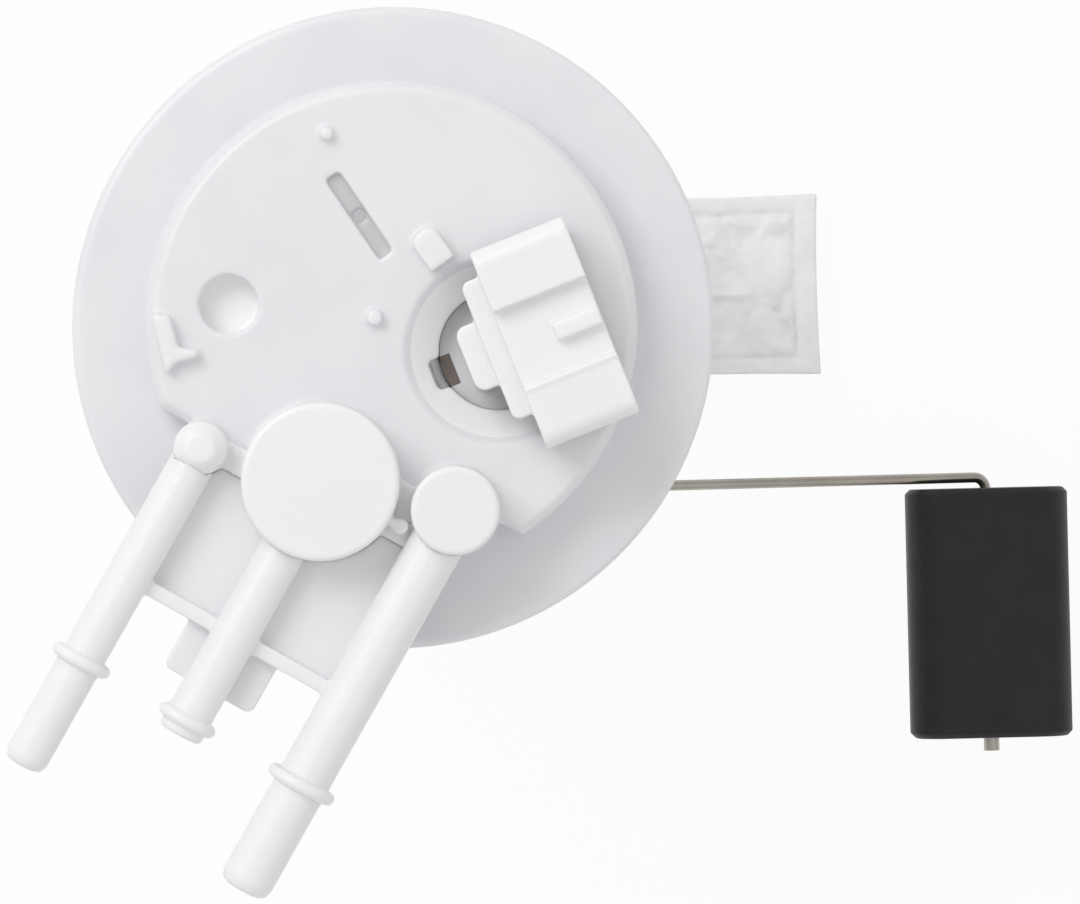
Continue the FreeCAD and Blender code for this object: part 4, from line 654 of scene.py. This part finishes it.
@dataclass
class FinishedSolids:
    """Copies of the frame's rigid parts with softened edges, and finishes for the hidden ones."""

    edge_segments: int = 2
    flat_angle: float = 0.6
    bevel_angle: float = 38.0
    smooth_angle: float = 30.0
    weld: float = 2e-6
    barrel_axis: tuple[float, float] = (18.95 * MM, -4.66 * MM)
    barrel_edge: tuple[float, float] = (9.0 * MM, 10.7 * MM)
    barrel_heights: tuple[float, float] = (4.5 * MM, 5.6 * MM)
    barrel_top: float = 5.5 * MM
    barrel_swell: float = 1.022
    edges: dict[str, float] = field(default_factory=dict)
    moulded: dict[str, Moulding] = field(default_factory=dict)
    hidden: tuple[str, ...] = ()

    def copied(self, node: str) -> bpy.types.Object:
        """Copy a node and merge its loose triangles.

        Args:
            node: The node's name.

        Returns:
            The copy.
        """
        piece = bpy.data.objects.new(node + "_finished", frame["nodes"][node].data.copy())
        bpy.context.scene.collection.objects.link(piece)
        make_active(piece)
        bpy.ops.object.mode_set(mode="EDIT")
        bpy.ops.mesh.select_all(action="SELECT")
        bpy.ops.mesh.remove_doubles(threshold=self.weld)
        bpy.ops.object.mode_set(mode="OBJECT")
        return piece

    def mould(self, node: str, way: Moulding) -> bpy.types.Object:
        """Copy a node and round all its edges and roots, as a mould's are.

        Args:
            node: The node's name.
            way: The rounding.

        Returns:
            The rounded copy.
        """
        piece = self.copied(node)
        cells = piece.modifiers.new("Cells", "REMESH")
        cells.mode = "VOXEL"
        cells.voxel_size = way.cell
        rounding = piece.modifiers.new("Rounding", "SMOOTH")
        rounding.factor = 0.5
        rounding.iterations = way.rounds
        piece.modifiers.new("Lighter", "DECIMATE").ratio = way.kept_share
        apply_modifiers(piece)
        bpy.ops.object.shade_smooth()
        return piece

    def fit_barrel(self, piece: bpy.types.Object) -> None:
        """Bring the connector barrel's rounded top edge back against the cover's bore.

        Args:
            piece: The rounded connector.
        """
        x, y = self.barrel_axis
        near, far = self.barrel_edge
        low, high = self.barrel_heights
        for vertex in piece.data.vertices:
            place = vertex.co
            if (low < place.z < high
                    and near < math.hypot(place.x - x, place.y - y) < far):
                place.x = x + (place.x - x) * self.barrel_swell
                place.y = y + (place.y - y) * self.barrel_swell
                place.z = self.barrel_top

    def soften(self, node: str, width: float) -> bpy.types.Object:
        """Copy a node and round its sharp edges by a small radius.

        Args:
            node: The node's name.
            width: The rounding's width in metres, or nothing for a plain smooth copy.

        Returns:
            The copy.
        """
        piece = self.copied(node)
        if width:
            make_active(piece)
            bpy.ops.object.mode_set(mode="EDIT")
            bpy.ops.mesh.select_all(action="SELECT")
            bpy.ops.mesh.dissolve_limited(angle_limit=math.radians(self.flat_angle))
            bpy.ops.object.mode_set(mode="OBJECT")
            bevel = piece.modifiers.new("Edges", "BEVEL")
            bevel.width = width
            bevel.segments = self.edge_segments
            bevel.limit_method = "ANGLE"
            bevel.angle_limit = math.radians(self.bevel_angle)
            bevel.use_clamp_overlap = True
            bevel.miter_outer = "MITER_ARC"
            apply_modifiers(piece)
        smooth(piece, self.smooth_angle)
        if width:
            piece.modifiers.new("Shading", "WEIGHTED_NORMAL").keep_sharp = True
            apply_modifiers(piece)
        return piece

    def build(self, taken: set[str]) -> None:
        """Finish every node that no other class makes.

        Args:
            taken: The nodes that other classes replace.
        """
        for node, source in sorted(frame["nodes"].items()):
            if node in taken:
                continue
            if node in self.hidden:
                source.data.materials.clear()
                source.data.materials.append(FINISH_OF_SLOT[SLOT_OF_NODE[node]].material())
                continue
            if node in self.moulded:
                piece = self.mould(node, self.moulded[node])
                if node == "connector_body":
                    self.fit_barrel(piece)
            else:
                piece = self.soften(node, self.edges.get(node, 0.0))
            dress(piece, SLOT_OF_NODE[node])
            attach(piece, source["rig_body"])
            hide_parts(node)
            log.info("%s: %d faces", piece.name, len(piece.data.polygons))


# Routes

def spline_points(points: list[Vector], smoothness: int = 32) -> list[Vector]:
    """Read the points along a smooth spline with the given control points.

    Args:
        points: The route's control points.
        smoothness: Points for each of the spline's spans.

    Returns:
        The points along it, in order.
    """
    curve = bpy.data.curves.new("route", "CURVE")
    curve.dimensions = "3D"
    spline = curve.splines.new("NURBS")
    spline.points.add(len(points) - 1)
    for control, point in zip(spline.points, points):
        control.co = (*point, 1.0)
    spline.order_u = 3
    spline.use_endpoint_u = True
    spline.resolution_u = smoothness
    holder = bpy.data.objects.new("route", curve)
    bpy.context.scene.collection.objects.link(holder)
    bpy.context.view_layer.update()
    mesh = bpy.data.meshes.new_from_object(holder)
    found = [vertex.co.copy() for vertex in mesh.vertices]
    bpy.data.objects.remove(holder)
    bpy.data.curves.remove(curve)
    bpy.data.meshes.remove(mesh)
    return found


def evenly(points: list[Vector], step: float) -> list[Vector]:
    """Read a line's points again at one even step.

    Args:
        points: The line's points.
        step: The distance between two points that are returned.

    Returns:
        The evenly stepped points, with both ends.
    """
    lengths = [0.0]
    for before, after in zip(points, points[1:]):
        lengths.append(lengths[-1] + (after - before).length)
    count = max(2, round(lengths[-1] / step))
    found, index = [], 0
    for number in range(count + 1):
        wanted = lengths[-1] * number / count
        while index < len(lengths) - 2 and lengths[index + 1] < wanted:
            index += 1
        span = max(lengths[index + 1] - lengths[index], 1e-9)
        share = (wanted - lengths[index]) / span
        found.append(points[index].lerp(points[index + 1], min(share, 1.0)))
    return found


def swept_tube(name: str, line: list[Vector], radii: list[float],
               sides: int) -> bpy.types.Object:
    """Make a closed round tube along a line, with a radius for each of its points.

    Args:
        name: The piece's name.
        line: The centre line.
        radii: The radius at each point of the line.
        sides: Faces round the tube.

    Returns:
        The tube.
    """
    tangents = [(line[min(i + 1, len(line) - 1)] - line[max(i - 1, 0)]).normalized()
                for i in range(len(line))]
    side = tangents[0].orthogonal().normalized()
    corners = []
    for point, tangent, radius in zip(line, tangents, radii):
        side = (side - tangent * side.dot(tangent)).normalized()
        other = tangent.cross(side)
        for step in range(sides):
            angle = math.tau * step / sides
            corners.append(point + (side * math.cos(angle) + other * math.sin(angle)) * radius)
    faces = []
    for ring in range(len(line) - 1):
        for step in range(sides):
            after = (step + 1) % sides
            low, high = ring * sides, (ring + 1) * sides
            faces.append((low + step, low + after, high + after, high + step))
    faces.append(tuple(reversed(range(sides))))
    faces.append(tuple(range((len(line) - 1) * sides, len(line) * sides)))
    mesh = bpy.data.meshes.new(name)
    mesh.from_pydata([tuple(corner) for corner in corners], [], faces)
    mesh.update()
    piece = bpy.data.objects.new(name, mesh)
    bpy.context.scene.collection.objects.link(piece)
    return piece


# Hoses, leads and springs

@dataclass
class Hoses:
    """The two corrugated nylon hoses between the cover and the reservoir."""

    outer: float = 5.0 * MM
    root: float = 4.45 * MM
    pitch: float = 2.6 * MM
    cuff: float = 11.0 * MM
    cuff_share: float = 0.55
    crest_shape: float = 0.6
    step: float = 0.3 * MM
    sides: int = 40
    feed: tuple[tuple[float, float, float], ...] = (
        (10.8, -33.1, -0.3), (10.8, -33.1, -11.0), (10.8, -33.1, -22.0), (6.0, 0.0, -32.0),
        (6.0, 0.0, -43.0), (6.0, 0.0, -55.0))
    back: tuple[tuple[float, float, float], ...] = (
        (-34.2, -20.9, -0.3), (-34.2, -20.9, -10.0), (-34.2, -20.9, -20.0),
        (-28.0, -12.0, -34.0), (-28.0, -12.0, -44.0), (-28.0, -12.0, -55.0))

    def radius(self, along: float, total: float) -> float:
        """The hose's outer radius at a place along it.

        Args:
            along: The distance from its upper end.
            total: The hose's length.

        Returns:
            The radius in metres.
        """
        if along < self.cuff or along > total - self.cuff:
            return self.root + (self.outer - self.root) * self.cuff_share
        wave = 0.5 + 0.5 * math.sin(math.tau * (along - self.cuff) / self.pitch)
        return self.root + (self.outer - self.root) * wave ** self.crest_shape

    def build(self) -> None:
        """Make both hoses."""
        for node, route in (("feed_hose", self.feed), ("return_hose", self.back)):
            line = evenly(spline_points(in_metres(route)), self.step)
            total = self.step * (len(line) - 1)
            radii = [self.radius(self.step * number, total) for number in range(len(line))]
            piece = swept_tube(node + "_corrugated", line, radii, self.sides)
            smooth(piece, ROUND_ANGLE)
            dress(piece, "natural_nylon")
            bend_with_reservoir(piece)
            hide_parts(node)
            log.info("%s: %.1f mm long", piece.name, total / MM)


def bend_with_reservoir(piece: bpy.types.Object) -> None:
    """Put a piece's place into its mesh.

    Args:
        piece: The piece.
    """
    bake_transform(piece)


@dataclass
class Leads:
    """The insulated wires from the connector down to the pump and to the level sender."""

    radius: float = 0.9 * MM
    step: float = 0.8 * MM
    sides: int = 16
    pump: tuple[tuple[float, float, float], ...] = (
        (17.0, 1.0, -5.0), (17.0, 1.0, -16.0), (7.0, 11.0, -27.0))
    pump_spacing: float = 1.2
    sender: tuple[tuple[float, float, float], ...] = (
        (22.0, -9.0, -5.0), (22.0, -9.0, -16.0), (21.0, -29.5, -36.0), (11.0, -29.0, -56.0),
        (11.0, -29.0, -73.4))
    sender_spacing: float = 1.2
    plug_rows: float = 2.8
    plug_top: float = -49.5
    plug_rise: float = 13.5
    straight: float = 2.0 * MM

    def pump_routes(self) -> list[list[Vector]]:
        """The two routes to the pump's plug.

        Returns:
            A list of points for each lead.
        """
        low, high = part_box("pump_plug")
        middle = (low + high) / 2 / MM
        heading = math.radians(plug_heading(middle))
        routes = []
        for side in (-1, 1):
            shift = Vector((0.0, side * self.pump_spacing, 0.0))
            end = Vector((middle.x + side * self.plug_rows * math.cos(heading),
                          middle.y + side * self.plug_rows * math.sin(heading), self.plug_top))
            points = [Vector(point) + shift for point in self.pump]
            points.append(end + Vector((0.0, 0.0, self.plug_rise)))
            points.append(end)
            routes.append([point * MM for point in points])
        return routes

    def sender_routes(self) -> list[list[Vector]]:
        """The two routes to the level sender's plug.

        Returns:
            A list of points for each lead.
        """
        return [[(Vector(point) + Vector((side * self.sender_spacing, 0.0, 0.0))) * MM
                 for point in self.sender] for side in (-1, 1)]

    def build(self) -> None:
        """Make the four leads."""
        for node, routes in (("pump_leads", self.pump_routes()),
                             ("sender_leads", self.sender_routes())):
            for number, route in enumerate(routes, 1):
                line = evenly(spline_points(route), self.step)
                piece = swept_tube(f"{node}_{number}", line, [self.radius] * len(line),
                                   self.sides)
                smooth(piece, ROUND_ANGLE)
                dress(piece, "lead_insulation")
                bend_with_reservoir(piece)
                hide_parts(node)
                length = sum((b - a).length for a, b in zip(line, line[1:]))
                log.info("%s: %.1f mm long", piece.name, length / MM)


def plug_heading(middle: Vector) -> float:
    """The direction that the pump plug's two leads stand in, across its place from the pump.

    Args:
        middle: The plug's middle in millimetres.

    Returns:
        The direction in degrees.
    """
    return math.degrees(math.atan2(middle.y - PUMP_AXIS.y, middle.x - PUMP_AXIS.x)) - 90.0


@dataclass
class Springs:
    """The three springs round the guide rods."""

    radius: float = 4.7 * MM
    wire: float = 0.6 * MM
    turns: float = 7.0
    closed_turns: float = 1.0
    steps: int = 30
    sides: int = 14

    def line(self, centre: Vector, low: float, high: float) -> list[Vector]:
        """The wire's centre line, with closed turns at both ends.

        Args:
            centre: The spring's axis in plan.
            low: The lowest place of the wire's surface.
            high: The highest place of the wire's surface.

        Returns:
            The points along the wire.
        """
        flat = 2 * self.wire
        rise = high - low - 2 * self.wire - 2 * flat * self.closed_turns
        total = self.turns + 2 * self.closed_turns
        points = []
        for number in range(round(total * self.steps) + 1):
            turn = number / self.steps
            first = min(turn, self.closed_turns) * flat
            middle = min(max(turn - self.closed_turns, 0.0), self.turns) / self.turns * rise
            last = max(turn - self.closed_turns - self.turns, 0.0) * flat
            angle = math.tau * turn
            points.append(Vector((centre.x + self.radius * math.cos(angle),
                                  centre.y + self.radius * math.sin(angle),
                                  low + self.wire + first + middle + last)))
        return points

    def build(self) -> None:
        """Make the rods' springs."""
        for number in (1, 2, 3):
            node = f"rod_spring_{number}"
            low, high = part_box(node)
            centre = (low + high) / 2
            line = self.line(centre, low.z, high.z)
            piece = swept_tube(f"rod_coil_{number}", line, [self.wire] * len(line), self.sides)
            smooth(piece, ROUND_ANGLE)
            dress(piece, "steel")
            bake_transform(piece)
            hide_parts(node)
            log.info("%s: %d turns", piece.name, self.turns)


# Strainer

@dataclass
class Strainer:
    """The filter bag: two cloths heat sealed round their edge, slack and wrinkled between."""

    cells_long: int = 116
    cells_wide: int = 44
    border: float = 3.8 * MM
    end_border: float = 5.2 * MM
    thickness: float = 1.0 * MM
    inner_width: float = 35.6 * MM
    outer_width: float = 37.7 * MM
    pull_in: float = 0.45 * MM
    pull_share: float = 0.2
    side_pull: float = 0.012
    side_waves: float = 3.0
    shrink: float = -0.075
    pressure: float = 1.1
    quality: int = 6
    weight: float = 0.15
    stretch_stiffness: float = 30.0
    bend_stiffness: float = 0.05
    unevenness: float = 0.12
    frames: int = 26
    body: str = "reservoir"
    clearance: float = 0.25 * MM
    rounds: int = 1
    fold_angle: float = 60.0
    ridge_y: float = 8.7 * MM
    ridge_end: float = 72.0 * MM
    ridge_wide: float = 0.8 * MM
    ridge_rise: float = 1.0 * MM
    seam_wide: float = 0.7 * MM
    seam_depth: float = 0.45 * MM

    def bag(self) -> bpy.types.Object:
        """The flat bag before it is filled.

        Returns:
            A closed thin slab with the bag's plan.
        """
        low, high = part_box("strainer_sock")
        centre = (low + high) / 2
        deselect()
        bpy.ops.mesh.primitive_grid_add(x_subdivisions=self.cells_long,
                                        y_subdivisions=self.cells_wide, size=1.0,
                                        location=centre)
        bag = bpy.context.object
        bag.name = "strainer_bag"
        bag.scale = (high.x - low.x, self.outer_width, 1.0)
        apply_place(bag)
        for vertex in bag.data.vertices:
            share = (high.x - vertex.co.x) / (high.x - low.x)
            narrow = 1.0 - share * (1.0 - self.inner_width / self.outer_width)
            across = (vertex.co.y - centre.y) / self.outer_width * 2
            pull = self.pull_in * (1.0 - across * across) * max(0.0, 1.0 - share / self.pull_share)
            side_pull = self.side_pull * math.sin(math.pi * min(share * self.side_waves, 1.0))
            vertex.co.x -= pull
            vertex.co.y = centre.y + (vertex.co.y - centre.y) * narrow * (1.0 - side_pull)
        solid = bag.modifiers.new("Cloths", "SOLIDIFY")
        solid.thickness = self.thickness
        solid.offset = 0.0
        apply_modifiers(bag)
        return bag

    def inward(self, place: Vector, low: Vector, high: Vector) -> float:
        """Measure how far inside its sealed border a place in the bag lies.

        Args:
            place: The place.
            low: The bag's lowest corner.
            high: The bag's highest corner.

        Returns:
            The distance, below nothing in the border.
        """
        share = (high.x - place.x) / (high.x - low.x)
        half = (self.outer_width + (self.inner_width - self.outer_width) * share) / 2
        across = abs(place.y - (low.y + high.y) / 2)
        return min(high.x - place.x - self.end_border, place.x - low.x - self.border,
                   half - across - self.border)

    def fill(self, bag: bpy.types.Object) -> None:
        """Let the cloth between the sealed borders swell and wrinkle.

        Args:
            bag: The flat bag.
        """
        low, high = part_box("strainer_sock")
        sealed = bag.vertex_groups.new(name="sealed")
        rough = random.Random(SEED)
        for vertex in bag.data.vertices:
            if self.inward(vertex.co, low, high) < 0.0:
                sealed.add([vertex.index], 1.0, "REPLACE")
            else:
                vertex.co.z += rough.uniform(-self.unevenness, self.unevenness) * MM
        cloth = bag.modifiers.new("Cloth", "CLOTH")
        settings = cloth.settings
        settings.quality = self.quality
        settings.mass = self.weight
        settings.tension_stiffness = self.stretch_stiffness
        settings.compression_stiffness = self.stretch_stiffness
        settings.bending_stiffness = self.bend_stiffness
        settings.shrink_min = self.shrink
        settings.vertex_group_mass = "sealed"
        settings.use_pressure = True
        settings.uniform_pressure_force = self.pressure
        settings.effector_weights.gravity = 0.0
        cloth.collision_settings.use_self_collision = False
        cloth.point_cache.frame_start = 1
        cloth.point_cache.frame_end = self.frames
        for number in range(1, self.frames + 1):
            bpy.context.scene.frame_set(number)
        make_active(bag)
        bpy.ops.object.modifier_apply(modifier="Cloth")
        bpy.context.scene.frame_set(1)
        relaxed = bag.modifiers.new("Relaxed", "SMOOTH")
        relaxed.iterations = self.rounds
        relaxed.vertex_group = "sealed"
        relaxed.invert_vertex_group = True
        apply_modifiers(bag)
        for vertex in bag.data.vertices:
            vertex.co.z = min(max(vertex.co.z, low.z), high.z - self.clearance)

    def press(self, bag: bpy.types.Object) -> None:
        """Press the seam round the filling and raise the cloth over the spacer's edge.

        Args:
            bag: The filled bag.
        """
        low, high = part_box("strainer_sock")
        level = (low.z + high.z) / 2
        for vertex in bag.data.vertices:
            place = vertex.co
            side = math.copysign(1.0, place.z - level)
            off_seam = self.inward(place, low, high) / self.seam_wide
            place.z -= side * self.seam_depth * math.exp(-off_seam ** 2)
            if side > 0.0 and place.x < self.ridge_end:
                off = (place.y - self.ridge_y) / self.ridge_wide
                fade = min(1.0, (self.ridge_end - place.x) / self.border)
                place.z += self.ridge_rise * fade * math.exp(-off * off)
            place.z = min(max(place.z, low.z), high.z - self.clearance)

    def build(self) -> None:
        """Make the bag, fill it and give it its cloth."""
        bag = self.bag()
        self.fill(bag)
        bag.modifiers.new("Fine", "SUBSURF").levels = 1
        bag.modifiers["Fine"].render_levels = 1
        apply_modifiers(bag)
        self.press(bag)
        smooth(bag, self.fold_angle)
        dress(bag, "filter_cloth")
        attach(bag, self.body)
        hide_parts("strainer_sock")
        log.info("%s: %d faces", bag.name, len(bag.data.polygons))


# Studio

@dataclass
class Studio:
    """The pale floor, the soft lamps and the camera that looks down on the cover."""

    floor_size: float = 6.0
    floor_gap: float = 0.3 * MM
    floor_white: float = 0.9
    floor_roughness: float = 0.9
    white_share: float = 0.93
    world_strength: float = 0.67
    key_place: tuple[float, float, float] = (-0.55, 0.62, 0.95)
    key_size: float = 0.7
    key_power: float = 6.0
    fill_place: tuple[float, float, float] = (0.75, -0.35, 1.1)
    fill_size: float = 1.2
    fill_power: float = 0.9
    camera_place: tuple[float, float, float] = (0.0260, -0.0231, 1.100)
    camera_turn: float = -1.4
    camera_lens: float = 202.5
    camera_sensor: float = 36.0
    camera_clip: tuple[float, float] = (0.01, 20.0)

    def floor(self) -> None:
        """Lay the floor under the lowest foot."""
        low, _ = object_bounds()
        deselect()
        bpy.ops.mesh.primitive_plane_add(size=self.floor_size,
                                         location=(0.0, 0.0, low[2] - self.floor_gap))
        floor = bpy.context.object
        floor.name = "studio_floor"
        apply_place(floor)
        material = bpy.data.materials.new("studio_floor_paper")
        material.use_nodes = True
        tree = material.node_tree
        shader = tree.nodes["Principled BSDF"]
        shader.inputs["Base Color"].default_value = (self.floor_white,) * 3 + (1.0,)
        shader.inputs["Roughness"].default_value = self.floor_roughness
        shader.inputs["Specular IOR Level"].default_value = 0.0
        white = tree.nodes.new("ShaderNodeEmission")
        rays = tree.nodes.new("ShaderNodeLightPath")
        seen = calculated(tree, "MAXIMUM", rays.outputs["Is Camera Ray"],
                          calculated(tree, "MAXIMUM", rays.outputs["Is Glossy Ray"],
                                     rays.outputs["Is Transmission Ray"]))
        share = calculated(tree, "MULTIPLY", seen, self.white_share)
        mix = tree.nodes.new("ShaderNodeMixShader")
        tree.links.new(share, mix.inputs["Fac"])
        tree.links.new(shader.outputs["BSDF"], mix.inputs[1])
        tree.links.new(white.outputs["Emission"], mix.inputs[2])
        tree.links.new(mix.outputs["Shader"], tree.nodes["Material Output"].inputs["Surface"])
        floor.data.materials.append(material)
        floor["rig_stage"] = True

    def lamp(self, name: str, place: tuple[float, float, float], size: float,
             power: float) -> None:
        """Hang a soft square lamp that points at the cover.

        Args:
            name: The lamp's name.
            place: Where it hangs.
            size: Its side.
            power: Its power in watts.
        """
        light = bpy.data.lights.new(name, "AREA")
        light.size = size
        light.energy = power
        holder = bpy.data.objects.new(name, light)
        bpy.context.scene.collection.objects.link(holder)
        aim = (Vector((0.0, 0.0, 0.0)) - Vector(place)).to_track_quat("-Z", "Y")
        holder.matrix_world = Matrix.Translation(place) @ aim.to_matrix().to_4x4()

    def world(self) -> None:
        """Surround the scene with plain soft white."""
        world = bpy.data.worlds.new("studio_world")
        bpy.context.scene.world = world
        world.use_nodes = True
        tree = world.node_tree
        background = tree.nodes["Background"]
        background.inputs["Color"].default_value = (1.0, 1.0, 1.0, 1.0)
        rays = tree.nodes.new("ShaderNodeLightPath")
        seen = calculated(tree, "MAXIMUM", rays.outputs["Is Camera Ray"],
                          rays.outputs["Is Transmission Ray"])
        strength = calculated(tree, "ADD", calculated(
            tree, "MULTIPLY", seen, 1.0 - self.world_strength), self.world_strength)
        tree.links.new(strength, background.inputs["Strength"])

    def camera(self) -> None:
        """Hang the camera straight above the cover."""
        lens = bpy.data.cameras.new("photo_camera")
        lens.sensor_fit = "HORIZONTAL"
        lens.sensor_width = self.camera_sensor
        lens.lens = self.camera_lens
        lens.clip_start, lens.clip_end = self.camera_clip
        holder = bpy.data.objects.new("photo_camera", lens)
        bpy.context.scene.collection.objects.link(holder)
        holder.location = self.camera_place
        holder.rotation_euler = (0.0, 0.0, math.radians(self.camera_turn))
        bpy.context.scene.camera = holder

    def build(self) -> None:
        """Set the whole studio."""
        self.floor()
        self.world()
        self.lamp("key_lamp", self.key_place, self.key_size, self.key_power)
        self.lamp("fill_lamp", self.fill_place, self.fill_size, self.fill_power)
        self.camera()
        bpy.context.scene.view_settings.view_transform = "Standard"


MOULDING_OF_NODE = {
    "flange_cover": Moulding(0.45 * MM, 6, 0.36),
    "nozzle_set": Moulding(0.3 * MM, 4, 0.45),
    "connector_body": Moulding(0.3 * MM, 8, 0.5),
    "feed_elbow_cap": Moulding(0.25 * MM, 4, 0.5),
    "vent_cap": Moulding(0.3 * MM, 5, 0.5),
}
EDGE_OF_NODE = {
    "vent_housing": 0.3 * MM,
    "reservoir_bucket": 0.4 * MM,
    "reservoir_lid": 0.35 * MM,
    "sender_bracket": 0.3 * MM,
    "arm_hub": 0.3 * MM,
    "level_float": 0.4 * MM,
    "sender_plug": 0.3 * MM,
    "pump_plug": 0.3 * MM,
    "strainer_neck": 0.3 * MM,
}
SEALED_IN = ("armature_shaft", "armature", "commutator", "pump_magnets", "pump_brushes",
             "impeller", "pump_casting")
MADE_HERE = {"feed_hose", "return_hose", "pump_leads", "sender_leads", "rod_spring_1",
             "rod_spring_2", "rod_spring_3", "strainer_sock"}


def main() -> None:
    """Build every sub-assembly in order."""
    logging.basicConfig(level=logging.INFO, format="%(message)s")
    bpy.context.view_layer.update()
    Studio().build()
    solids = FinishedSolids(edges=EDGE_OF_NODE, moulded=MOULDING_OF_NODE, hidden=SEALED_IN)
    solids.build(MADE_HERE)
    Hoses().build()
    Leads().build()
    Springs().build()
    Strainer().build()
    log.info("sizes written")


if __name__ == "__main__":
    main()
